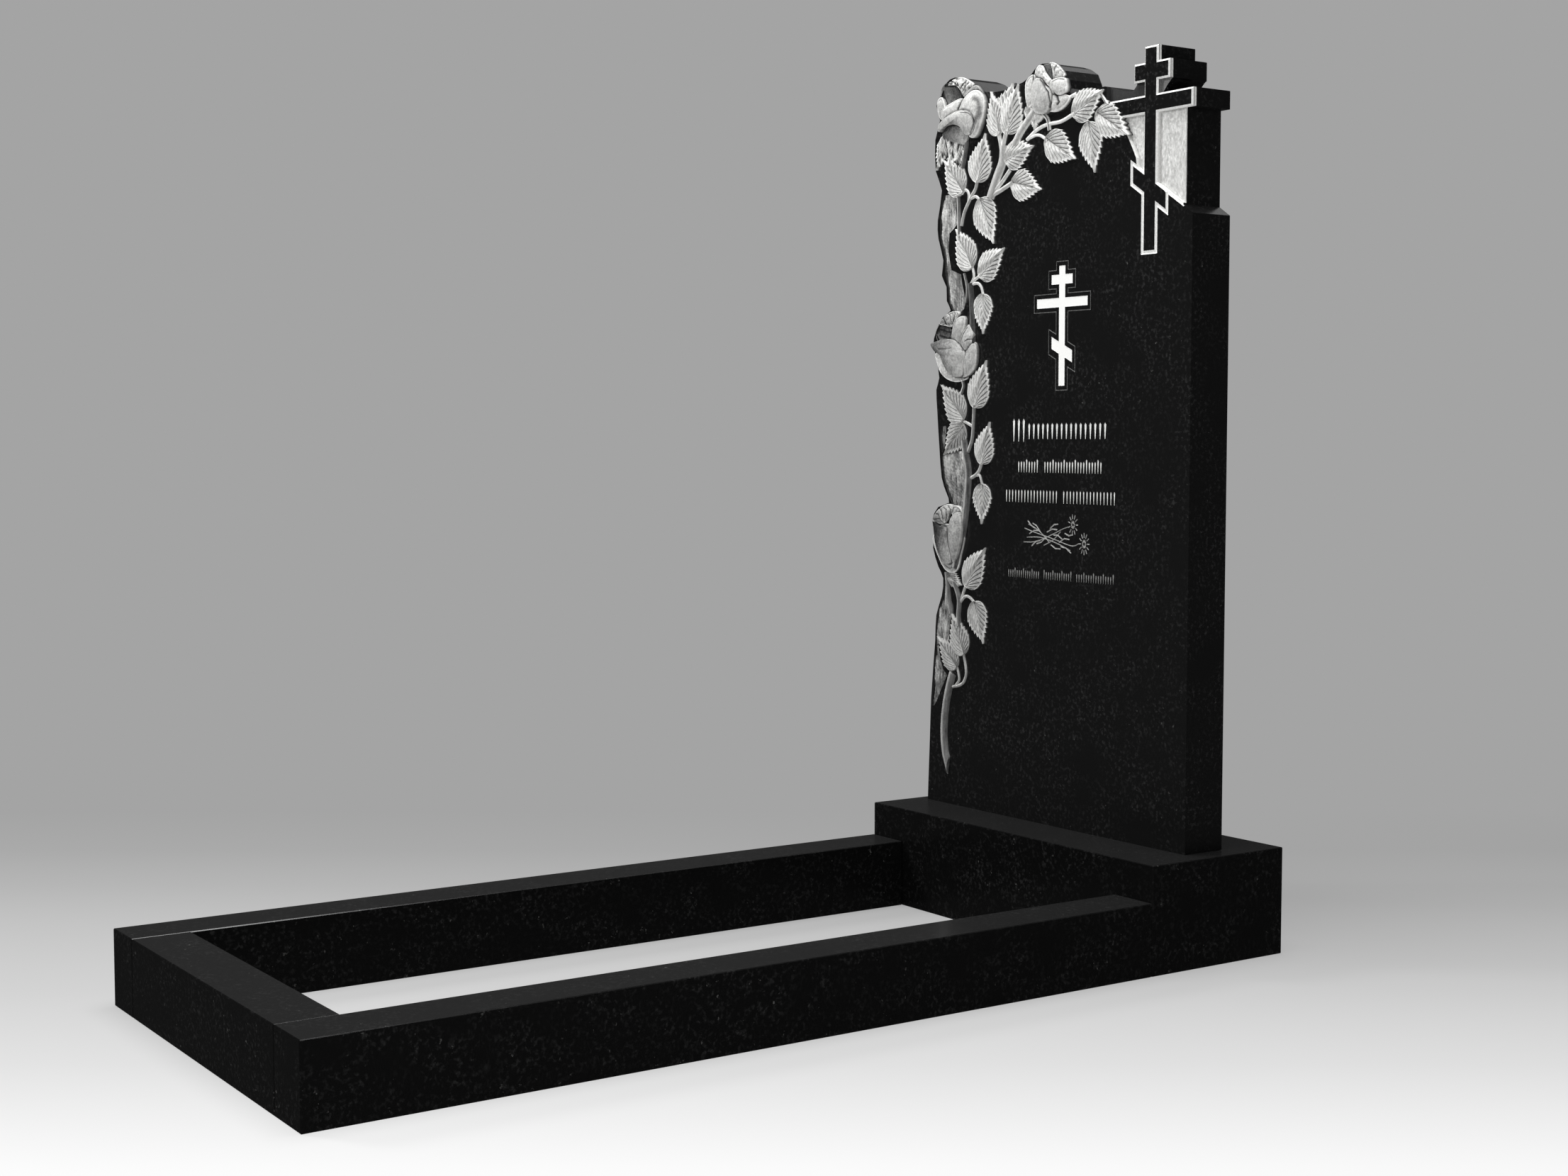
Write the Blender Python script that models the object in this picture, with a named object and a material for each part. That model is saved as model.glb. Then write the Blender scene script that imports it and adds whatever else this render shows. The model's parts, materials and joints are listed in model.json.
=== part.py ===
"""Carved granite headstone on a plinth, with a three-piece flower bed in front of it.

Metres, +Z up. The memorial is centred on X, its face looks along -Y and the flower bed
runs out towards -Y. The origin lies on the ground under the middle of the whole.
"""

import math

import bmesh
import bpy
from mathutils import Vector

# Plinth and flower bed
PLINTH_WIDTH = 0.700
PLINTH_DEPTH = 0.275
PLINTH_HEIGHT = 0.1675
BED_LENGTH = 1.335
KERB_HEIGHT = 0.1113
SIDE_KERB_WIDTH = 0.082
FRONT_KERB_WIDTH = 0.084
ARRIS = 0.0012
JOINT = 0.0003

# Upright slab
STELE_WIDTH = 0.6404
STELE_HEIGHT = 1.2509
STELE_THICKNESS = 0.080
STELE_SETBACK = 0.1014

# Depths of the carving, all from the polished face
PANEL_RECESS = 0.008
GROUND_RECESS = 0.006
HOLLOW_RECESS = 0.008
GROOVE_WIDTH = 0.0056
GROOVE_DEPTH = 0.0022
LEAF_RIM = 0.0030
LEAF_CREST = 0.0052
LEAF_MIDRIB = 0.0012
STEM_CREST_SHARE = 0.45
STEM_CREST_MOST = 0.0055
STEM_SHOULDER = 0.0006
BURIED = 0.0100
BURIED_STEP = 0.00007
CUTTER_CLEARANCE = 0.004

GRANITE_SHADE = 0.008
GRANITE_ROUGHNESS = 0.12

# The face is drawn in millimetres: x from its middle line, z from the ground
DRAWN_FOOT = 167.5
DRAWN_LEFT = -328.0
DRAWN_RIGHT = 312.4
DRAWN_TOP = 1418.4

BED_FRONT_Y = -(BED_LENGTH + PLINTH_DEPTH) / 2
PLINTH_FRONT_Y = BED_FRONT_Y + BED_LENGTH
FACE_Y = PLINTH_FRONT_Y + STELE_SETBACK
STELE_FOOT_Z = PLINTH_HEIGHT + JOINT
ACROSS = STELE_WIDTH / (DRAWN_RIGHT - DRAWN_LEFT)
UPWARDS = STELE_HEIGHT / (DRAWN_TOP - DRAWN_FOOT)

# Large cross at the upper right, in drawn millimetres: its stem's middle line, then reaches and
# drops, each from the one above it
CROSS_X, STEM_TOP = 219.0, 1401.0
STEM_HALF = 15.0
SHORT_ARM_DROP, SHORT_ARM_HEIGHT = 24.0, 28.5
SHORT_ARM_LEFT, SHORT_ARM_RIGHT = 38.0, 40.5
LONG_ARM_DROP, LONG_ARM_HEIGHT = 21.0, 28.0
LONG_ARM_LEFT, LONG_ARM_RIGHT = 88.0, 90.5
FOOT_BAR_DROP, FOOT_BAR_HEIGHT, FOOT_BAR_SLOPE = 87.5, 33.0, -0.632
FOOT_BAR_LEFT, FOOT_BAR_RIGHT = 40.0, 38.0
STEM_END_DROP = 91.0
NECK_SETBACK, NECK_LENGTH, SHOULDER_DROP = 21.8, 144.8, 14.3

STEM_LEFT, STEM_RIGHT = CROSS_X - STEM_HALF, CROSS_X + STEM_HALF
SHORT_HIGH = STEM_TOP - SHORT_ARM_DROP
SHORT_LOW = SHORT_HIGH - SHORT_ARM_HEIGHT
SHORT_LEFT, SHORT_RIGHT = CROSS_X - SHORT_ARM_LEFT, CROSS_X + SHORT_ARM_RIGHT
LONG_HIGH = SHORT_LOW - LONG_ARM_DROP
LONG_LOW = LONG_HIGH - LONG_ARM_HEIGHT
LONG_LEFT, LONG_RIGHT = CROSS_X - LONG_ARM_LEFT, CROSS_X + LONG_ARM_RIGHT
BAR_LEFT, BAR_RIGHT = CROSS_X - FOOT_BAR_LEFT, CROSS_X + FOOT_BAR_RIGHT
BAR_TOP_AT_STEM = LONG_LOW - FOOT_BAR_DROP
BAR_LOW_AT_STEM = BAR_TOP_AT_STEM - FOOT_BAR_HEIGHT
STEM_FOOT = BAR_LOW_AT_STEM - STEM_END_DROP
NECK_RIGHT = DRAWN_RIGHT - NECK_SETBACK
NECK_FOOT = LONG_LOW - NECK_LENGTH
SHOULDER = NECK_FOOT - SHOULDER_DROP
PANEL_ARCH = [(150.0, LONG_LOW), (166.0, 1274.0), (178.0, 1254.0), (188.0, 1235.0)]
PANEL_FOOT = 190.0
PANEL_BEYOND = 40.0
NOTCH_REACH = 84.0


def bar_top(x):
    """Height of the slanted bar's upper edge at x."""
    return BAR_TOP_AT_STEM + FOOT_BAR_SLOPE * (x - STEM_LEFT)


def bar_low(x):
    """Height of the slanted bar's lower edge at x."""
    return BAR_LOW_AT_STEM + FOOT_BAR_SLOPE * (x - STEM_LEFT)


CROSS = [
    (STEM_LEFT, STEM_TOP),
    (STEM_RIGHT, STEM_TOP),
    (STEM_RIGHT, SHORT_HIGH),
    (SHORT_RIGHT, SHORT_HIGH),
    (SHORT_RIGHT, SHORT_LOW),
    (STEM_RIGHT, SHORT_LOW),
    (STEM_RIGHT, LONG_HIGH),
    (LONG_RIGHT, LONG_HIGH),
    (LONG_RIGHT, LONG_LOW),
    (STEM_RIGHT, LONG_LOW),
    (STEM_RIGHT, bar_top(STEM_RIGHT)),
    (BAR_RIGHT, bar_top(BAR_RIGHT)),
    (BAR_RIGHT, bar_low(BAR_RIGHT)),
    (STEM_RIGHT, bar_low(STEM_RIGHT)),
    (STEM_RIGHT, STEM_FOOT),
    (STEM_LEFT, STEM_FOOT),
    (STEM_LEFT, bar_low(STEM_LEFT)),
    (BAR_LEFT, bar_low(BAR_LEFT)),
    (BAR_LEFT, bar_top(BAR_LEFT)),
    (STEM_LEFT, bar_top(STEM_LEFT)),
    (STEM_LEFT, LONG_LOW),
    (LONG_LEFT, LONG_LOW),
    (LONG_LEFT, LONG_HIGH),
    (STEM_LEFT, LONG_HIGH),
    (STEM_LEFT, SHORT_LOW),
    (SHORT_LEFT, SHORT_LOW),
    (SHORT_LEFT, SHORT_HIGH),
    (STEM_LEFT, SHORT_HIGH),
]

# Wavy left and upper edge: the stone between the blooms, and each bloom's own bulge
LEFT_EDGE = [
    (-320.0, 345), (-314, 405), (-309, 450), (-306, 495), (-291, 529), (-287, 560),
    (-301, 580), (-316, 612), (-312, 638), (-319, 661), (-302, 684), (-272, 692),
    (-280, 710), (-293, 736), (-300, 790), (-306, 850), (-309, 888), (-301, 908),
    (-310, 945), (-318, 967), (-311, 988), (-292, 1012), (-270, 1023),
    (-281, 1040), (-282, 1064), (-295, 1084), (-291, 1110), (-305, 1148),
    (-307, 1180), (-296, 1230), (-313, 1264), (-315, 1318), (-302, 1350),
    (-312, 1376), (-296, 1396), (-286, 1411), (-262, 1418), (-222, 1407), (-184, 1384),
    (-135, 1379), (-82, 1386), (-60, 1397), (-46, 1407), (-20, 1408),
    (14, 1392), (27, 1362), (38, 1352),
]
TOP_EDGE = [(116.0, 1353), (142, 1345), (164, 1339), (174, 1341), (SHORT_LEFT, SHORT_LOW)]
NOTCH_FILLET = [(SHORT_RIGHT - 4, SHORT_LOW - 2), (247, 1339), (STEM_RIGHT + 3, LONG_HIGH)]

# Rose leaves: foot x, foot z, tip x, tip z, width
LEAVES = [
    (-142, 1306, -161, 1378, 46),
    (-124, 1306, -94, 1381, 52),
    (-199, 1234, -177, 1311, 60),
    (-236, 1220, -286, 1278, 52),
    (-191, 1206, -154, 1131, 58),
    (-125, 1272, -57, 1285, 48),
    (-107, 1225, -35, 1208, 50),
    (-22, 1287, 48, 1249, 52),
    (43, 1318, 112, 1347, 50),
    (79, 1302, 96, 1224, 52),
    (99, 1314, 171, 1273, 50),
    (-211, 1091, -252, 1158, 54),
    (-190, 1077, -127, 1118, 50),
    (-182, 1047, -179, 982, 48),
    (-203, 856, -171, 932, 56),
    (-231, 834, -290, 894, 54),
    (-230, 828, -282, 777, 50),
    (-183, 760, -161, 828, 50),
    (-180, 727, -180, 661, 46),
    (-223, 550, -171, 616, 54),
    (-201, 525, -174, 457, 50),
    (-228, 430, -258, 498, 50),
    (-246, 406, -297, 456, 42),
    (-270, 566, -236, 552, 24),
    (-292, 1318, -268, 1271, 34),
    (-266, 1314, -243, 1272, 28),
    (-50, 1337, -48, 1309, 22),
]
LEAF_TEETH = 5
LEAF_FULLNESS = 2.435
LEAF_TIP_POWER = 0.85
FIRST_TOOTH, TOOTHED_SHARE, TOOTH_LEAN = 0.04, 0.86, 0.13
TOOTH_OUT, TOOTH_IN = 1.04, 0.90
VEIN_LEAN = 0.86

# Stems: width, then the middle line from foot to tip
STEMS = [
    (17, [(-268, 234), (-278, 262), (-281, 300), (-275, 345), (-262, 388), (-247, 420)]),
    (5, [(-258, 373), (-240, 377), (-227, 385), (-221, 402), (-228, 432)]),
    (4.5, [(-250, 376), (-240, 388), (-246, 408)]),
    (9, [(-276, 572), (-272, 545), (-268, 522), (-262, 500)]),
    (10, [(-255, 556), (-241, 528), (-242, 498), (-240, 480)]),
    (5, [(-236, 524), (-229, 540), (-222, 553)]),
    (5, [(-237, 522), (-225, 532), (-212, 531), (-200, 523)]),
    (15, [(-252, 580), (-239, 615), (-228, 655), (-220, 705), (-217, 745), (-224, 775), (-230, 800)]),
    (6, [(-214, 735), (-198, 741), (-188, 750), (-182, 763)]),
    (4.5, [(-195, 740), (-187, 740), (-180, 724)]),
    (6.5, [(-219, 780), (-208, 802), (-205, 830), (-203, 860)]),
    (5, [(-204, 822), (-218, 828), (-233, 833)]),
    (12, [(-206, 945), (-208, 985), (-209, 1020), (-214, 1066)]),
    (5, [(-227, 1034), (-224, 1050), (-225, 1064), (-232, 1084)]),
    (5, [(-216, 1063), (-206, 1076), (-210, 1094)]),
    (5, [(-212, 1065), (-202, 1072), (-187, 1079)]),
    (5, [(-212, 1064), (-196, 1065), (-186, 1058), (-181, 1045)]),
    (8, [(-246, 1150), (-247, 1185), (-249, 1222)]),
    (6, [(-240, 1165), (-232, 1188), (-214, 1212), (-203, 1224), (-198, 1238)]),
    (5, [(-222, 1202), (-221, 1217), (-230, 1225), (-240, 1219)]),
    (5, [(-214, 1209), (-202, 1211), (-190, 1203)]),
    (15, [(-166, 1206), (-150, 1236), (-136, 1262), (-133, 1288)]),
    (8, [(-134, 1280), (-138, 1297), (-143, 1312)]),
    (8, [(-132, 1280), (-128, 1296), (-122, 1312)]),
    (13, [(-128, 1256), (-95, 1298), (-68, 1322), (-48, 1338)]),
    (7, [(-160, 1208), (-134, 1216), (-104, 1226)]),
    (7, [(-156, 1213), (-134, 1228), (-112, 1247)]),
    (6, [(-70, 1291), (-46, 1304), (-20, 1310), (14, 1311), (46, 1320)]),
    (5, [(-68, 1292), (-48, 1296), (-34, 1293), (-19, 1284)]),
    (5, [(108, 1342), (123, 1324)]),
    (5, [(-32, 1335), (-21, 1322), (-15, 1302)]),
    (6, [(22, 1340), (34, 1346), (50, 1350)]),
    (6, [(-236, 905), (-232, 893), (-238, 880)]),
]

# Petals, from the back of each bloom to its front: rim lift, dome lift, then the outline
ROSE_OPEN = [
    (2.5, 5, [(-306, 1382), (-299, 1388), (-293, 1387), (-286, 1374), (-283, 1359), (-286, 1351),
              (-297, 1351), (-305, 1365)]),
    (3, 7, [(-272, 1408), (-262, 1414), (-239, 1415), (-219, 1407), (-206, 1398), (-219, 1390),
            (-234, 1383), (-241, 1394), (-256, 1405)]),
    (5, 8, [(-232, 1383), (-217, 1391), (-198, 1396), (-184, 1386), (-178, 1372), (-195, 1370),
            (-215, 1376)]),
    (4, 8, [(-274, 1322), (-258, 1335), (-238, 1334), (-220, 1321), (-222, 1310), (-230, 1301),
            (-252, 1307), (-266, 1310)]),
    (6, 10, [(-280, 1369), (-259, 1376), (-237, 1377), (-234, 1369), (-245, 1358), (-264, 1354),
             (-281, 1350), (-284, 1360)]),
    (8, 14, [(-235, 1363), (-228, 1376), (-207, 1387), (-187, 1385), (-173, 1370), (-172, 1351),
             (-179, 1331), (-192, 1312), (-205, 1309), (-216, 1317), (-227, 1342)]),
    (9, 16, [(-296, 1329), (-292, 1342), (-277, 1349), (-247, 1356), (-220, 1359), (-199, 1354),
             (-189, 1342), (-191, 1331), (-206, 1328), (-229, 1333), (-252, 1336), (-268, 1323),
             (-289, 1320)]),
]
ROSE_HALF = [
    (3, 6, [(-72, 1383), (-64, 1391), (-54, 1394), (-48, 1389), (-50, 1371), (-54, 1349),
            (-64, 1341), (-70, 1351), (-73, 1367)]),
    (2.5, 5, [(-56, 1339), (-46, 1333), (-32, 1331), (-30, 1321), (-44, 1315), (-52, 1321),
              (-56, 1331)]),
    (3, 6, [(-24, 1406), (-9, 1407), (6, 1401), (19, 1391), (25, 1382), (14, 1379), (-4, 1379),
            (-12, 1387), (-18, 1397)]),
    (5, 8, [(-44, 1400), (-36, 1405), (-24, 1403), (-16, 1390), (-7, 1377), (-11, 1368),
            (-24, 1373), (-33, 1385), (-45, 1390)]),
    (4, 8, [(-10, 1358), (3, 1357), (20, 1354), (37, 1348), (38, 1342), (25, 1332), (7, 1327),
            (-11, 1329), (-22, 1333), (-12, 1344)]),
    (6, 10, [(-5, 1378), (14, 1380), (29, 1377), (34, 1367), (34, 1357), (19, 1352), (4, 1355),
             (-7, 1360), (-9, 1370)]),
    (9, 15, [(-50, 1348), (-50, 1370), (-43, 1384), (-29, 1384), (-18, 1372), (-5, 1361),
             (-2, 1347), (-6, 1335), (-18, 1327), (-37, 1329), (-47, 1338)]),
]
ROSE_CUP = [
    (2.5, 5, [(-309, 950), (-305, 936), (-295, 918), (-277, 906), (-253, 900), (-231, 902),
              (-219, 908), (-225, 930), (-255, 950), (-285, 955)]),
    (3, 6, [(-295, 1003), (-285, 1012), (-270, 1018), (-253, 1021), (-241, 1017), (-253, 1006),
            (-265, 995), (-280, 1000)]),
    (2.5, 5, [(-209, 960), (-200, 966), (-194, 960), (-194, 949), (-205, 950)]),
    (5, 9, [(-261, 973), (-259, 989), (-251, 1003), (-239, 1010), (-227, 1011), (-223, 1002),
            (-227, 989), (-236, 971), (-241, 961), (-253, 965)]),
    (6, 10, [(-237, 965), (-232, 979), (-222, 989), (-212, 994), (-204, 984), (-202, 975),
             (-208, 965), (-216, 951), (-224, 947), (-236, 957)]),
    (6, 11, [(-227, 946), (-217, 953), (-205, 957), (-195, 949), (-194, 935), (-197, 925),
             (-209, 915), (-221, 908), (-231, 910), (-231, 928)]),
    (9, 17, [(-314, 967), (-297, 971), (-278, 973), (-252, 972), (-236, 961), (-220, 947),
             (-224, 930), (-227, 911), (-247, 909), (-265, 916), (-279, 931), (-289, 947),
             (-305, 955)]),
]
ROSE_BUD = [
    (2.5, 5, [(-312, 634), (-310, 618), (-300, 600), (-287, 583), (-273, 573), (-255, 571),
              (-242, 581), (-235, 602), (-226, 636), (-245, 650), (-285, 655)]),
    (3, 5, [(-261, 684), (-247, 688), (-235, 682), (-234, 668), (-247, 666), (-261, 674)]),
    (4, 8, [(-313, 660), (-306, 672), (-294, 681), (-279, 688), (-264, 690), (-256, 684),
            (-264, 672), (-275, 660), (-284, 655), (-299, 656)]),
    (7, 11, [(-306, 656), (-292, 652), (-273, 646), (-269, 625), (-261, 600), (-261, 591),
             (-273, 589), (-290, 600), (-302, 620), (-307, 640)]),
    (9, 16, [(-261, 649), (-258, 663), (-248, 673), (-236, 677), (-229, 668), (-226, 651),
             (-229, 629), (-237, 606), (-244, 594), (-250, 591), (-258, 611), (-263, 633)]),
]
BLOOMS = [ROSE_OPEN, ROSE_HALF, ROSE_CUP, ROSE_BUD]
PETAL_RING = 0.62
PETAL_SWELL = 0.8
STEEPEST_MITRE = 0.5

# Dark hollows between the petals of the two wide blooms
HOLLOWS = [
    [(-294, 1405), (-278, 1408), (-258, 1405), (-246, 1388), (-240, 1375), (-262, 1370),
     (-284, 1366), (-292, 1385)],
    [(-309, 984), (-301, 996), (-289, 1000), (-273, 996), (-262, 985), (-262, 970), (-282, 968),
     (-298, 968)],
]

# Rough ground cut back beside the stems
GROUND = [
    [(-288, 1219), (-262, 1211), (-254, 1188), (-256, 1162), (-272, 1140), (-270, 1108),
     (-284, 1126), (-295, 1160), (-291, 1196)],
    [(-277, 1090), (-262, 1088), (-238, 1078), (-228, 1030), (-232, 1012), (-262, 1014),
     (-272, 1034), (-272, 1066)],
    [(-283, 812), (-240, 790), (-231, 775), (-224, 735), (-226, 698), (-246, 690), (-262, 706),
     (-280, 752)],
    [(-284, 550), (-270, 530), (-256, 514), (-256, 490), (-268, 470), (-288, 452), (-301, 470),
     (-298, 504)],
    [(-306, 404), (-276, 394), (-286, 366), (-300, 346), (-312, 338), (-311, 372)],
]


def on_face(x, z, proud=0.0):
    """Place of a drawn point, given how far it stands proud of the polished face."""
    return Vector((x * ACROSS, FACE_Y - proud, STELE_FOOT_Z + (z - DRAWN_FOOT) * UPWARDS))


def curve_through(points, steps):
    """Points of a smooth curve that passes through the given ones."""
    count = len(points)
    result = []
    for i in range(count - 1):
        near = [min(max(i + k, 0), count - 1) for k in (-1, 0, 1, 2)]
        a, b, c, d = (Vector(points[k]) for k in near)
        slope = (c - a) / 2
        bend = a - 2.5 * b + 2 * c - d / 2
        twist = 1.5 * (b - c) + (d - a) / 2
        for step in range(steps):
            t = step / steps
            result.append(b + slope * t + bend * t * t + twist * t ** 3)
    result.append(Vector(points[-1]))
    return result


def granite(name, shade, roughness):
    """A granite finish: its grey shade and how rough it is."""
    material = bpy.data.materials.new(name)
    material.use_nodes = True
    shader = material.node_tree.nodes["Principled BSDF"]
    shader.inputs["Base Color"].default_value = (shade, shade, shade, 1.0)
    shader.inputs["Roughness"].default_value = roughness
    shader.inputs["Metallic"].default_value = 0.0
    return material


def finish_object(name, bm, material=None):
    """Turn a bmesh into an object in the scene, with its faces pointing out."""
    bmesh.ops.recalc_face_normals(bm, faces=bm.faces)
    mesh = bpy.data.meshes.new(name)
    bm.to_mesh(mesh)
    bm.free()
    if material:
        mesh.materials.append(material)
    obj = bpy.data.objects.new(name, mesh)
    bpy.context.scene.collection.objects.link(obj)
    return obj


def helper(bm, name, collection):
    """An object that only cuts or joins another one."""
    obj = finish_object(name, bm)
    obj.hide_render = True
    obj.display_type = "WIRE"
    bpy.context.scene.collection.objects.unlink(obj)
    collection.objects.link(obj)
    return obj


def block(name, low, high, material):
    """A rectangular stone with a fine arris on every edge."""
    bm = bmesh.new()
    bmesh.ops.create_cube(bm, size=1.0)
    low, high = Vector(low), Vector(high)
    bmesh.ops.scale(bm, vec=high - low, verts=bm.verts)
    bmesh.ops.translate(bm, vec=(low + high) / 2, verts=bm.verts)
    bmesh.ops.bevel(
        bm, geom=bm.edges[:], offset=ARRIS, segments=1, profile=0.5, affect="EDGES", clamp_overlap=True
    )
    return finish_object(name, bm, material)


def pull_back(bm, faces, depth):
    """Close a front surface with walls and a flat back, at a depth behind the polished face."""
    made = bmesh.ops.extrude_face_region(bm, geom=faces)
    for item in made["geom"]:
        if isinstance(item, bmesh.types.BMVert):
            item.co.y = FACE_Y + depth


def prism(outline, proud, depth):
    """A drawn outline pulled back through the stone, from proud of the face to a depth behind it."""
    bm = bmesh.new()
    face = bm.faces.new([bm.verts.new(on_face(x, z, proud)) for x, z in outline])
    pull_back(bm, [face], depth)
    return bm


def leaf_half_width(s):
    """Half width of a leaf as a share of its width, with s from foot 0 to tip 1."""
    return 0.5 * LEAF_FULLNESS * math.sqrt(s) * (1.0 - s) ** LEAF_TIP_POWER


def leaf(foot_x, foot_z, tip_x, tip_z, width, depth):
    """A toothed leaf, pleated along its side veins, with a sunk midrib."""
    along = Vector((tip_x - foot_x, tip_z - foot_z))
    across = Vector((-along.y, along.x)).normalized() * width
    foot = Vector((foot_x, foot_z))
    bm = bmesh.new()

    def vertex(s, side, proud):
        place = foot + along * s + across * side
        return bm.verts.new(on_face(place.x, place.y, proud))

    start = vertex(0.0, 0.0, LEAF_RIM)
    end = vertex(1.0, 0.0, LEAF_RIM)
    stations = []
    for tooth in range(LEAF_TEETH):
        first = FIRST_TOOTH + TOOTHED_SHARE * tooth / LEAF_TEETH
        stations.append((first, TOOTH_IN, LEAF_CREST))
        stations.append((first + TOOTH_LEAN, TOOTH_OUT, LEAF_RIM))
    middle = [vertex(VEIN_LEAN * s, 0.0, LEAF_MIDRIB) for s, _, _ in stations]
    faces = []
    for hand in (-1, 1):
        rim = [vertex(s, hand * out * leaf_half_width(s), proud) for s, out, proud in stations]
        faces.append(bm.faces.new([start, rim[0], middle[0]]))
        for i in range(len(rim) - 1):
            faces.append(bm.faces.new([rim[i], rim[i + 1], middle[i + 1], middle[i]]))
        faces.append(bm.faces.new([rim[-1], end, middle[-1]]))
    bmesh.ops.recalc_face_normals(bm, faces=faces)
    pull_back(bm, faces, depth)
    return bm


def petal(outline, rim, dome, depth):
    """A petal inside its outline, lifted at the rim and swelling to its middle."""
    middle = sum((Vector(p) for p in outline), Vector((0.0, 0.0))) / len(outline)
    bm = bmesh.new()

    def ring(share, lift):
        places = [middle + (Vector(p) - middle) * share for p in outline]
        return [bm.verts.new(on_face(p.x, p.y, lift / 1000)) for p in places]

    outer = ring(1.0, rim)
    inner = ring(PETAL_RING, rim + PETAL_SWELL * (dome - rim))
    centre = bm.verts.new(on_face(middle.x, middle.y, dome / 1000))
    faces = []
    for i in range(len(outer)):
        j = (i + 1) % len(outer)
        faces.append(bm.faces.new([outer[i], outer[j], inner[j], inner[i]]))
        faces.append(bm.faces.new([inner[i], inner[j], centre]))
    bmesh.ops.recalc_face_normals(bm, faces=faces)
    pull_back(bm, faces, depth)
    return bm


def sweep(path, section, closed=False):
    """Carry a cross-section along a drawn path; the section is (sideways mm, metres proud) pairs."""
    bm = bmesh.new()
    path = [Vector(p) for p in path]
    count = len(path)
    rings = []
    for i, place in enumerate(path):
        before = path[i - 1] if (closed or i) else place
        after = path[(i + 1) % count] if (closed or i < count - 1) else place
        arriving = (place - before).normalized() if before != place else (after - place).normalized()
        leaving = (after - place).normalized() if after != place else arriving
        middle = (arriving + leaving).normalized()
        mitre = 1.0 / max(STEEPEST_MITRE, middle.dot(arriving))
        side = Vector((middle.y, -middle.x)) * mitre
        rings.append([bm.verts.new(on_face(*(place + side * s), proud)) for s, proud in section])
    size = len(section)
    for i in range(count if closed else count - 1):
        here, there = rings[i], rings[(i + 1) % count]
        for k in range(size):
            bm.faces.new([here[k], here[(k + 1) % size], there[(k + 1) % size], there[k]])
    if not closed:
        bm.faces.new(rings[0])
        bm.faces.new(rings[-1])
    return bm


def stem(path, width, depth):
    """A stem with a low ridge, standing on the stone behind it."""
    half = width / 2
    crest = min(width / 1000 * STEM_CREST_SHARE, STEM_CREST_MOST)
    section = [(-half, -depth), (-half, STEM_SHOULDER), (0, crest), (half, STEM_SHOULDER), (half, -depth)]
    return sweep(curve_through(path, 2), section)


def outline_of_slab():
    """The slab's whole outline, clockwise from its lower left corner."""
    left = curve_through(LEFT_EDGE, 2)
    top = curve_through(TOP_EDGE, 2)
    return (
        [(DRAWN_LEFT, DRAWN_FOOT)]
        + [tuple(p) for p in left]
        + [tuple(p) for p in top[:-1]]
        + CROSS[25:]
        + CROSS[:5]
        + NOTCH_FILLET
        + CROSS[7:9]
        + [(NECK_RIGHT, LONG_LOW), (NECK_RIGHT, NECK_FOOT)]
        + [(DRAWN_RIGHT, SHOULDER), (DRAWN_RIGHT, DRAWN_FOOT)]
    )


def boolean(obj, name, operation, collection):
    """Join or cut an object with everything in a collection."""
    modifier = obj.modifiers.new(name, "BOOLEAN")
    modifier.operation = operation
    modifier.operand_type = "COLLECTION"
    modifier.collection = collection
    modifier.solver = "EXACT"


def panels():
    """Outlines that are cut back around the large cross."""
    beyond = NECK_RIGHT + PANEL_BEYOND
    right_side = [
        (STEM_RIGHT, bar_top(STEM_RIGHT)),
        (beyond, bar_top(beyond)),
        (beyond, LONG_LOW),
        (STEM_RIGHT, LONG_LOW),
    ]
    left_side = [
        (STEM_LEFT, bar_top(STEM_LEFT)),
        (STEM_LEFT, LONG_LOW),
        *PANEL_ARCH,
        (PANEL_FOOT, bar_top(PANEL_FOOT)),
    ]
    lift = PANEL_BEYOND / 2
    left_notch = [
        (STEM_LEFT - NOTCH_REACH, LONG_HIGH),
        (STEM_LEFT, LONG_HIGH),
        (STEM_LEFT, SHORT_LOW),
        (SHORT_LEFT, SHORT_LOW),
        (SHORT_LEFT - lift, SHORT_LOW + lift),
        (STEM_LEFT - NOTCH_REACH, SHORT_LOW + lift),
    ]
    right_notch = [
        (STEM_RIGHT, LONG_HIGH),
        (beyond, LONG_HIGH),
        (beyond, SHORT_LOW),
        (STEM_RIGHT, SHORT_LOW),
    ]
    return [right_side, left_side, left_notch, right_notch]


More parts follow.
